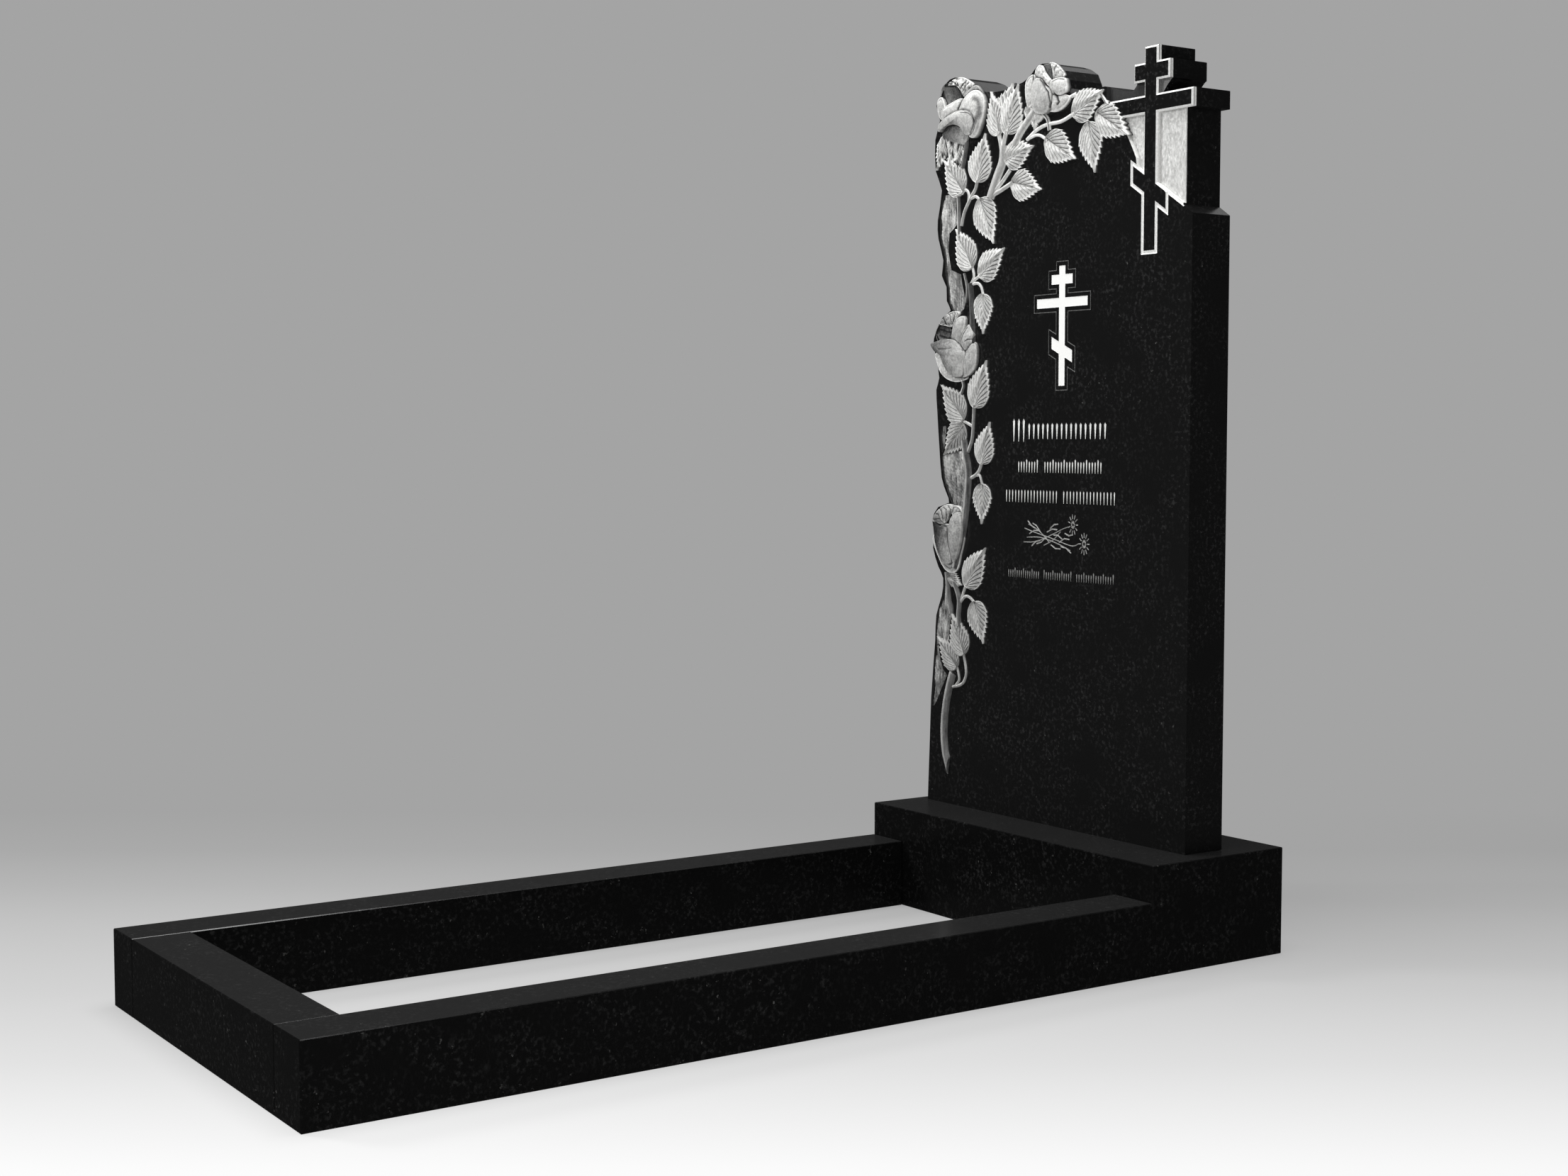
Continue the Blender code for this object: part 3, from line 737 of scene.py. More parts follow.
    def panels(self) -> list[tuple[list[Drawn], Finish]]:
        """List the outlines that are sunk around the large cross, with their finish."""
        start, end = self.panel_ends
        slant = [(x, bar_edge(x)) for x in (STEM_RIGHT, end)]
        below_right = [*slant, (end, LONG_LOW), (STEM_RIGHT, LONG_LOW)]
        below_left = [(STEM_LEFT, BAR_HIGH), (STEM_LEFT, LONG_LOW), *self.arch]
        above_left = [
            (start, LONG_HIGH),
            (STEM_LEFT, LONG_HIGH),
            (STEM_LEFT, SHORT_LOW),
            (SHORT_LEFT, SHORT_LOW),
            (SHORT_LEFT - 20, SHORT_LOW + 20),
            (start, SHORT_LOW + 20),
        ]
        above_right = [
            (STEM_RIGHT, LONG_HIGH),
            (end, LONG_HIGH),
            (end, SHORT_LOW),
            (STEM_RIGHT, SHORT_LOW),
        ]
        return [
            (below_right, Finish.FROSTED),
            (below_left, Finish.FROSTED),
            # The sunk panels above the long arm are painted grey, darker than the frosted panels, as the
            # shade in their recesses.
            (above_left, Finish.HONED_AND_SHADED),
            (above_right, Finish.DIM),
        ]

    def build(self, marks: Iterable[bpy.types.Object], finishes: Finishes) -> bpy.types.Object:
        """Cut the slab.

        Args:
            marks: Cutters of the small marks on the face.
            finishes: The materials.

        Returns:
            The slab, with its cuts applied.
        """
        cutters = Cutters(self.face, finishes)
        for outline, finish in self.panels():
            cutters.sink(outline, self.panel_depth, finish)
        for bank in Ground.banks:
            cutters.sink(bank.outline(), self.ground_depth, Finish.HONED_AND_SHADED)
        for outline in Blooms.hollows:
            cutters.sink(outline, self.hollow_depth, Finish.HONED_AND_SHADED)
        cutters.groove(self.cross(), self.rim_width, self.rim_depth, Finish.FROSTED, closed=True)
        slant = [(x, bar_edge(x) - 1) for x in (BAR_RIGHT - 3, self.neck[0] + 4)]
        cutters.groove(slant, self.rim_width, self.rim_depth, Finish.FROSTED)
        for mark in marks:
            cutters.take(mark)
        slab = finish_piece(self.block(), "stele_slab", finishes.slab_slots(), None)
        cutters.cut(slab)
        return slab


@dataclass
class Cutters:
    """Shapes that are taken out of the slab, each in the finish that it leaves behind."""

    face: Face
    finishes: Finishes
    clear: float = 4.0

    def __post_init__(self) -> None:
        """Open the collection that holds the cutters."""
        self.group = bpy.data.collections.new("cuts")
        bpy.context.scene.collection.children.link(self.group)

    def take(self, cutter: bpy.types.Object) -> None:
        """Move an object among the cutters."""
        bpy.context.scene.collection.objects.unlink(cutter)
        self.group.objects.link(cutter)

    def add(self, bm: bmesh.types.BMesh, finish: Finish) -> None:
        """Keep a closed bmesh as a cutter in one finish."""
        self.take(finish_cutter(bm, f"cut_{len(self.group.objects)}", finish, self.finishes))

    def sink(self, outline: Sequence[Drawn], depth: float, finish: Finish) -> None:
        """Cut an outline straight down to a depth in millimetres."""
        bm = bmesh.new()
        extrude_outline(bm, [self.face.beyond(x, z, self.clear) for x, z in outline], self.clear + depth)
        self.add(bm, finish)

    def groove(
        self, path: Sequence[Drawn], width: float, depth: float, finish: Finish, closed: bool = False
    ) -> None:
        """Cut a V-shaped line along a path.

        Args:
            path: The line's middle.
            width: Its width at the face, in millimetres.
            depth: Its depth, in millimetres.
            finish: What the cut leaves behind.
            closed: True for a loop.
        """
        mouth = width / 2 * (1 + self.clear / depth)
        sides = [(-mouth, self.clear), (mouth, self.clear), (0.0, -depth)]
        bm = bmesh.new()
        sweep_section(bm, self.face, path, sides, closed)
        self.add(bm, finish)

    def cut(self, stone: bpy.types.Object) -> None:
        """Take every cutter out of the stone, apply the cut and drop the cutters."""
        modifier = stone.modifiers.new("Cut", "BOOLEAN")
        modifier.operation = "DIFFERENCE"
        modifier.operand_type = "COLLECTION"
        modifier.collection = self.group
        modifier.solver = "EXACT"
        modifier.material_mode = "INDEX"
        seen = bpy.context.evaluated_depsgraph_get()
        mesh = bpy.data.meshes.new_from_object(stone.evaluated_get(seen), depsgraph=seen)
        stone.modifiers.clear()
        stone.data = mesh
        for cutter in list(self.group.objects):
            bpy.data.objects.remove(cutter, do_unlink=True)
        bpy.data.collections.remove(self.group)


def sweep_section(
    bm: bmesh.types.BMesh,
    face: Face,
    path: Sequence[Drawn],
    section: Sequence[Drawn],
    closed: bool,
) -> None:
    """Carry a cross-section along a drawn path with mitred corners.

    Args:
        bm: The mesh that takes it.
        face: The drawn face.
        path: The line that the section follows.
        section: Pairs of millimetres sideways and millimetres proud.
        closed: True for a loop.
    """
    places = [Vector(p) for p in path]
    count = len(places)
    last: list[bmesh.types.BMEdge] = []
    first: list[bmesh.types.BMEdge] = []
    for i in range(count + 1 if closed else count):
        place = places[i % count]
        before = places[i - 1] if (closed or i) else place
        after = places[(i + 1) % count] if (closed or i < count - 1) else place
        arriving = (place - before).normalized() if before != place else (after - place).normalized()
        leaving = (after - place).normalized() if after != place else arriving
        middle = (arriving + leaving).normalized()
        side = Vector((middle.y, -middle.x)) / max(0.5, middle.dot(arriving))
        spots = [face.beyond(place.x + side.x * s, place.y + side.y * s, proud) for s, proud in section]
        if not last:
            verts = [bm.verts.new(spot) for spot in spots]
            last = [bm.edges.new((verts[k], verts[(k + 1) % len(verts)])) for k in range(len(verts))]
            first = last
            ring = verts
            continue
        made = bmesh.ops.extrude_edge_only(bm, edges=last)["geom"]
        fresh = [item for item in made if isinstance(item, bmesh.types.BMVert)]
        linked: list[bmesh.types.BMVert] = []
        for vert in ring:
            linked += [e.other_vert(vert) for e in vert.link_edges if e.other_vert(vert) in fresh]
        for vert, spot in zip(linked, spots):
            vert.co = spot
        ring = linked
        edges = [item for item in made if isinstance(item, bmesh.types.BMEdge)]
        last = [edge for edge in edges if all(v in fresh for v in edge.verts)]
    if closed:
        bmesh.ops.remove_doubles(bm, verts=bm.verts[:], dist=0.01 * MM)
    else:
        bmesh.ops.holes_fill(bm, edges=first, sides=0)
        bmesh.ops.holes_fill(bm, edges=last, sides=0)


# ---- Leaves, stems, blooms and rough stone


@dataclass(frozen=True)
class Leaf:
    """A rose leaf: foot, tip and width in drawn millimetres, how crumpled and pale it is, and its lift.

    Its veins lean forward, its teeth start at its widest place and point to the tip, the tip is drawn out
    by its nib, and its rim is left white, partly as frosted stone and partly as a painted highlight. The
    half that looks to the right is painted darker as shade, and its grooves and midrib are painted darker
    too.
    """

    foot: Drawn
    tip: Drawn
    width: float
    crumple: float = 0.0
    shade: float = 1.0
    lift: float = 0.0

    teeth: int = 9
    per_tooth: int = 7
    across: int = 40
    tooth_mm: float = 3.7
    tooth_lean_mm: float = 3.4
    nib_mm: float = 3.0
    rim_mm: float = 1.2

    def half_width(self, s: float) -> float:
        """Give the half width at s, which runs from foot 0 to tip 1."""
        return self.width * 1.42 * math.sqrt(max(s, 0.0)) * max(1.0 - s, 0.0) ** 1.25

    def place(self, u: float, v: float) -> Placed:
        """Place a point of the leaf.

        Args:
            u: Along the leaf, from foot to tip.
            v: Across it, with the midrib at one half.

        Returns:
            Its x, z, proud and frost.
        """
        foot, tip = Vector(self.foot), Vector(self.tip)
        along = tip - foot
        side = Vector((-along.y, along.x)).normalized()
        hand = 2 * v - 1
        out = 1 - (1 - abs(hand)) ** 1.25
        phase = (u * self.teeth) % 1.0
        peak = (self.per_tooth - 1) / self.per_tooth
        tooth = phase / peak if phase <= peak + 1e-6 else 0.0
        tooth *= ease(0.2, 0.36, u) * (1 - 0.85 * ease(0.72, 1.0, u)) * ease(0.62, 1.0, out)
        half = self.half_width(u)
        reach = half - 2.0 * ease(0.25, 0.5, u) * (1 - ease(0.75, 0.95, u)) + self.tooth_mm * tooth
        spine = u**3.4
        forward = self.tooth_lean_mm * tooth + self.nib_mm * ease(0.86, 1.0, u)
        s = spine + (u**0.9 - spine) * out**1.1 + forward / along.length
        point = foot + along * s + side * (math.copysign(1.0, hand) * reach * out)

        # Painted shade: the half that looks to the right is darker, as if the light came from the left.
        outward = side.x * math.copysign(1.0, hand)
        shaded_half = ease(-0.35, 0.45, outward)
        inside = ease(0.04, 0.14, out) * ease(0.02, 0.1, u)
        rim_share = min(self.rim_mm / max(half, 1.0), 0.9)
        rim = ease(1 - 1.4 * rim_share, 1 - 0.6 * rim_share, out) * (1 - 0.3 * ease(0.8, 1.0, u))
        away = min(phase, 1.0 - phase) * self.per_tooth
        groove = max(0.0, 1.0 - away / 1.2) * inside * (1 - rim)
        ridge = hump(phase, 0.3, 0.12) * inside * (1 - rim)
        shaded_seam = hump(out, 0.06, 0.04) * (0.35 + 0.65 * shaded_half) * ease(0.0, 0.1, u)
        mottle = noise.noise(Vector((point.x / 2.6, point.y / 3.4, 6.2)))

        proud = 1.3 + 3.4 * ease(0.0, 0.5, out) - 2.5 * ease(0.45, 1.0, out)
        proud += 0.3 * ridge - 0.9 * groove - 0.5 * shaded_seam
        # The vein grooves and the midrib seam are sunk and painted darker as shade; the ridges, a line
        # beside the midrib on the lit half and the rim are painted paler as highlights, the rim partly as
        # frosted stone.
        frost_and_shading = 0.82 - 0.1 * shaded_half + 0.16 * mottle
        frost_and_shading -= (0.2 + 0.18 * shaded_half) * groove
        frost_and_shading += 0.05 * ridge
        frost_and_shading -= 0.3 * shaded_seam
        frost_and_shading += 0.16 * hump(out, 0.05, 0.05) * (1 - shaded_half) * ease(0.0, 0.1, u)
        frost_and_shading += 0.8 * (1.0 - frost_and_shading) * rim
        if self.crumple:
            rough = noise.noise(Vector((point.x / 5, point.y / 16, 3.1)))
            proud += self.crumple * 2.0 * rough
            # The hollows of a crumpled leaf are painted darker as shade.
            frost_and_shading += self.crumple * 1.1 * min(rough, 0.1)
        return (point.x, point.y, max(proud + self.lift, 0.4), frost_and_shading * self.shade)


@dataclass
class Leaves:
    """All leaves of the rose."""

    face: Face
    leaves: tuple[Leaf, ...] = (
        Leaf((-133, 1318), (-108, 1386), 70, 0.5, shade=0.94, lift=-3.0),
        Leaf((-142, 1306), (-161, 1378), 46),
        Leaf((-122, 1306), (-93, 1381), 60),
        Leaf((-199, 1234), (-177, 1311), 60),
        Leaf((-236, 1220), (-286, 1278), 52),
        Leaf((-191, 1206), (-154, 1131), 58),
        Leaf((-124, 1264), (-55, 1279), 48),
        Leaf((-107, 1225), (-35, 1208), 50),
        Leaf((-22, 1287), (48, 1249), 52),
        Leaf((43, 1318), (112, 1347), 50),
        Leaf((79, 1302), (96, 1224), 52),
        Leaf((99, 1314), (171, 1273), 50),
        Leaf((-211, 1091), (-252, 1158), 54),
        Leaf((-190, 1077), (-127, 1118), 50),
        Leaf((-182, 1047), (-179, 982), 48),
        Leaf((-203, 856), (-171, 932), 56, shade=0.92),
        Leaf((-231, 834), (-290, 894), 54, shade=0.86),
        Leaf((-230, 828), (-282, 777), 50, shade=0.78),
        Leaf((-183, 760), (-161, 828), 50, shade=0.9),
        Leaf((-180, 727), (-180, 661), 46, shade=0.9),
        Leaf((-223, 550), (-171, 616), 54, shade=0.86),
        Leaf((-201, 525), (-174, 457), 50, shade=0.84),
        Leaf((-228, 430), (-258, 498), 50, shade=0.8),
        Leaf((-246, 406), (-297, 456), 42, shade=0.78),
        Leaf((-270, 566), (-236, 552), 24, shade=0.75),
        Leaf((-283, 1322), (-306, 1268), 30, crumple=1.0),
        Leaf((-262, 1314), (-272, 1266), 34, crumple=1.2),
        Leaf((-244, 1309), (-250, 1264), 26, crumple=1.0),
        Leaf((-66, 1345), (-67, 1326), 18),
        Leaf((-50, 1341), (-49, 1306), 24),
    )

    def build(self, finishes: Finishes) -> bpy.types.Object:
        """Build every leaf in one piece."""
        relief = Relief(self.face)
        for leaf in self.leaves:
            relief.patch(leaf.teeth * leaf.per_tooth, leaf.across, leaf.place)
        return relief.finish("rose_leaves", finishes.carved)


@dataclass(frozen=True)
class Stem:
    """A stem: its width, its middle line from foot to tip, the frost of its sides and edges, with the
    side away from the light painted darker as shade and the edges painted as thin lines, pale on the lit
    side and darker on the other, and how far its foot is cut aslant.
    """

    width: float
    path: tuple[Drawn, ...]
    left: float = 0.8
    right: float = 0.72
    left_edge: float = 1.0
    right_edge: float = 0.95
    slant: float = 0.0

    def spots(self) -> list[Vector]:
        """Give the middle line as a smooth curve."""
        return smooth_curve(self.path, 6)


@dataclass
class Stems:
    """The main stem, its branches and the leaf stalks."""

    face: Face
    crest_share: float = 0.45
    crest_most: float = 5.4
    stems: tuple[Stem, ...] = (
        Stem(
            17,
            ((-268, 234), (-278, 262), (-281, 300), (-275, 345), (-262, 386), (-257, 397)),
            *(0.62, 0.4, 0.86, 0.42),
            slant=13.0,
        ),
        Stem(5, ((-258, 373), (-240, 377), (-227, 385), (-221, 402), (-228, 432)), 0.68, 0.6, 0.8, 0.7),
        Stem(4.5, ((-250, 376), (-240, 388), (-246, 408)), 0.68, 0.6, 0.8, 0.7),
        Stem(9, ((-276, 572), (-272, 545), (-268, 522), (-262, 500)), 0.6, 0.4, 0.8, 0.45),
        Stem(10, ((-255, 556), (-241, 528), (-242, 498), (-240, 480)), 0.62, 0.36, 0.8, 0.4),
        Stem(5, ((-236, 524), (-229, 540), (-222, 553)), 0.72, 0.62, 0.85, 0.75),
        Stem(5, ((-237, 522), (-225, 532), (-212, 531), (-200, 523)), 0.72, 0.62, 0.85, 0.75),
        Stem(
            15,
            ((-252, 580), (-239, 615), (-228, 655), (-220, 705), (-217, 745), (-224, 775), (-230, 800)),
            *(0.64, 0.3, 0.96, 0.42),
        ),
        Stem(6, ((-214, 735), (-198, 741), (-188, 750), (-182, 763)), 0.75, 0.62, 0.88, 0.75),
        Stem(4.5, ((-195, 740), (-187, 740), (-180, 724)), 0.75, 0.62, 0.88, 0.75),
        Stem(6.5, ((-219, 780), (-208, 802), (-205, 830), (-203, 860)), 0.75, 0.5, 0.9, 0.55),
        Stem(5, ((-204, 822), (-218, 828), (-233, 833)), 0.75, 0.65, 0.9, 0.8),
        Stem(12, ((-206, 945), (-208, 985), (-209, 1020), (-214, 1066)), 0.36, 0.26, 0.4, 0.28),
        Stem(5, ((-227, 1034), (-224, 1050), (-225, 1064), (-232, 1084)), 0.75, 0.4, 0.9, 0.4),
        Stem(5, ((-216, 1063), (-206, 1076), (-210, 1094))),
        Stem(5, ((-212, 1065), (-202, 1072), (-187, 1079))),
        Stem(5, ((-212, 1064), (-196, 1065), (-186, 1058), (-181, 1045))),
        Stem(8, ((-246, 1150), (-247, 1185), (-249, 1222)), 0.8, 0.4, 0.95, 0.42),
        Stem(
            6, ((-240, 1165), (-232, 1188), (-214, 1212), (-203, 1224), (-198, 1238)), 0.82, 0.6, 1.0, 0.8
        ),
        Stem(5, ((-222, 1202), (-221, 1217), (-230, 1225), (-240, 1219))),
        Stem(5, ((-214, 1209), (-202, 1211), (-190, 1203))),
        Stem(18, ((-163, 1206), (-147, 1236), (-132, 1262), (-129, 1288)), 0.76, 0.64, 1.0, 0.95),
        Stem(8, ((-134, 1280), (-138, 1297), (-143, 1312))),
        Stem(8, ((-132, 1280), (-128, 1296), (-122, 1312))),
        Stem(14, ((-101, 1287), (-84, 1307), (-64, 1324), (-46, 1338)), 0.8, 0.68, 1.0, 0.95),
        Stem(7, ((-160, 1208), (-134, 1216), (-104, 1226))),
        Stem(7, ((-156, 1213), (-134, 1228), (-112, 1247))),
        Stem(6, ((-70, 1291), (-46, 1304), (-20, 1310), (14, 1311), (46, 1320)), 0.92, 0.88, 1.0, 1.0),
        Stem(5, ((-68, 1292), (-48, 1296), (-34, 1293), (-19, 1284)), 0.92, 0.88, 1.0, 1.0),
        Stem(5, ((108, 1342), (123, 1324)), 0.5, 0.5, 1.0, 1.0),
        Stem(7, ((-38, 1336), (-28, 1327), (-18, 1317), (-14, 1300)), 0.9, 0.35, 1.0, 1.0),
        Stem(9, ((-227, 1312), (-228, 1296), (-232, 1280), (-238, 1262)), 0.5, 0.34, 0.6, 0.36),
        Stem(6, ((22, 1340), (34, 1346), (50, 1350)), 0.9, 0.9, 1.0, 1.0),
        Stem(6, ((-236, 905), (-232, 893), (-238, 880)), 0.9, 0.4, 1.0, 0.4),
    )

    def add(self, relief: Relief, stem: Stem) -> None:
        """Add one stem to the relief."""
        line = stem.spots()
        last = len(line) - 1
        crest = min(stem.width * self.crest_share, self.crest_most)

        def place(u: float, v: float) -> Placed:
            at = u * last
            i = min(int(at), last - 1)
            spot = line[i].lerp(line[i + 1], at - i)
            ahead = line[min(i + 1, last)] - line[max(i - 1, 0)] if 0 < i else line[1] - line[0]
            ahead = ahead.normalized()
            side = Vector((ahead.y, -ahead.x))
            hand = 2 * v - 1
            round_off = math.sqrt(max(0.0, 1 - hand * hand))
            point = spot + side * (hand * stem.width / 2) - ahead * (stem.slant * -hand * (1 - u) ** 3)
            right = hand * math.copysign(1.0, side.x if abs(side.x) > 0.2 else -side.y)
            edge = ease(1 - 3.4 / stem.width, 1 - 1.4 / stem.width, abs(hand))
            # Painted shade and highlights: one side of the stem darker than the other, and its edges
            # painted as thin lines.
            frost_and_shading = stem.left + (stem.right - stem.left) * ease(-0.15, 0.3, right)
            frost_and_shading += ((stem.right_edge if right > 0 else stem.left_edge) - frost_and_shading) * edge
            frost_and_shading += 0.12 * noise.noise(Vector((point.x / 3, point.y / 14, 0.7)))
            return (point.x, point.y, 0.5 + crest * round_off, frost_and_shading)

        relief.patch(last, 14, place)

    def build(self, finishes: Finishes) -> bpy.types.Object:
        """Build every stem in one piece."""
        relief = Relief(self.face)
        for stem in self.stems:
            self.add(relief, stem)
        return relief.finish("rose_stems", finishes.carved)


@dataclass(frozen=True)
class Petal:
    """A petal: how far its rim and its middle stand proud, its outline, and how it is shaded.

    Args:
        rim: Millimetres proud at the rim.
        dome: Millimetres proud at the middle, less than the rim for a hollow.
        outline: Drawn points round it.
        tone: Frost of its skin.
        dark: Direction x and z of the side painted darker as shade, and how much darker it is.
        lip: How far its rim is raised and how pale it is painted as a highlight.
        crumple: How uneven it is.
        buried: How far behind the polished face its edge goes down, in millimetres.
        heart: The drawn point that its rings close on, the middle of its outline if it isn't given.
    """

    rim: float
    dome: float
    outline: tuple[Drawn, ...]
    tone: float = 0.78
    dark: tuple[float, float, float] = (0.0, 0.0, 0.0)
    lip: float = 1.0
    crumple: float = 0.0
    buried: float = 9.0
    heart: Drawn | None = None


@dataclass(frozen=True)
class Crease:
    """A sunk line across petals: its path, half its width, and how much darker it is painted as shade;
    below zero it is painted paler as a highlight.
    """

    path: tuple[Drawn, ...]
    half: float = 0.9
    dark: float = 0.5


@dataclass
class Bloom:
    """One rose: its petals from the back to the front, and the creases across them."""

    name: str
    petals: tuple[Petal, ...]
    creases: tuple[Crease, ...]
    steps: int = 9
    rings: int = 26
    most: float = 17.0
    shadow_seam_mm: float = 1.7
    tone_share: float = 0.97
    lip_highlight_frost: float = 0.97

    def build(self, face: Face, finishes: Finishes) -> bpy.types.Object:
        """Build the rose in one piece."""
        relief = Relief(face, buried=11.0)
        rings = [smooth_curve(petal.outline, self.steps, closed=True) for petal in self.petals]
        trees = []
        for ring in rings:
            tree = kdtree.KDTree(len(ring))
            for i, spot in enumerate(ring):
                tree.insert((spot.x, spot.y, 0.0), i)
            tree.balance()
            trees.append(tree)
        for i, petal in enumerate(self.petals):
            self.add(relief, petal, rings[i], trees[i + 1 :])
        return relief.finish(self.name, finishes.carved)

    def add(
        self, relief: Relief, petal: Petal, ring: Sequence[Vector], nearer: Sequence[kdtree.KDTree]
    ) -> None:
        """Add one petal, lower along the rims of the petals in front of it and painted darker there as
        their shadow.

        Args:
            relief: The mesh that takes it.
            petal: Its form and its shades.
            ring: Its rim.
            nearer: The rims of the petals in front of it.
        """
        middle = Vector(petal.heart) if petal.heart else middle_of(petal.outline)
        size = max((p - middle).length for p in ring)
        toward = Vector(petal.dark[:2])
        toward = toward.normalized() if toward.length else toward

        def place(u: float, v: float) -> Placed:
            edge = ring[round(u * len(ring)) % len(ring)]
            share = v**0.75
            point = middle + (edge - middle) * share
            inset = (1 - share) * (edge - middle).length
            lip = petal.lip * (1 - ease(0.7, 2.6, inset))
            proud = petal.rim + (petal.dome - petal.rim) * (1 - share**2.2)
            proud += petal.lip * (0.5 * hump(inset, 1.2, 1.2) - 0.6 * hump(inset, 4.2, 1.8))
            far = (point - middle).dot(toward) / size
            # Painted shade: darker towards the dark side, a little paler on the side opposite.
            frost_and_shading = self.tone_share * petal.tone - petal.dark[2] * ease(-0.5, 0.85, far)
            frost_and_shading += 0.06 * ease(-0.1, -0.9, far)
            frost_and_shading += 0.08 * noise.noise(Vector((point.x / 8, point.y / 8, 9.1)))
            frost_and_shading += 0.14 * noise.noise(Vector((point.x / 2.4, point.y / 2.4, 5.7))) - 0.03
            # Painted highlight along the lip.
            frost_and_shading += (self.lip_highlight_frost - frost_and_shading) * 0.75 * lip
            # Creases are sunk and painted darker as shade; those whose dark is below zero are painted
            # paler as highlights.
            for crease in self.creases:
                near = hump(distance_to_line(point, crease.path), 0.0, crease.half)
                proud -= 1.3 * near * (crease.dark > 0)
                frost_and_shading -= crease.dark * near
            # Painted shadow along the rims of the petals in front.
            for tree in nearer:
                shaded_seam = hump(tree.find((point.x, point.y, 0.0))[2], 0.0, self.shadow_seam_mm)
                proud -= 0.8 * shaded_seam
                frost_and_shading -= 0.34 * shaded_seam
            if petal.crumple:
                rough = noise.noise(Vector((point.x / 4, point.y / 4, 1.3)))
                proud += petal.crumple * 1.6 * rough
                # The hollows of a crumpled petal are painted darker as shade.
                frost_and_shading += petal.crumple * 0.9 * min(rough, 0.15)
            return (point.x, point.y, min(proud, self.most), max(frost_and_shading, 0.06))

        relief.patch(len(ring), self.rings, place, petal.buried)


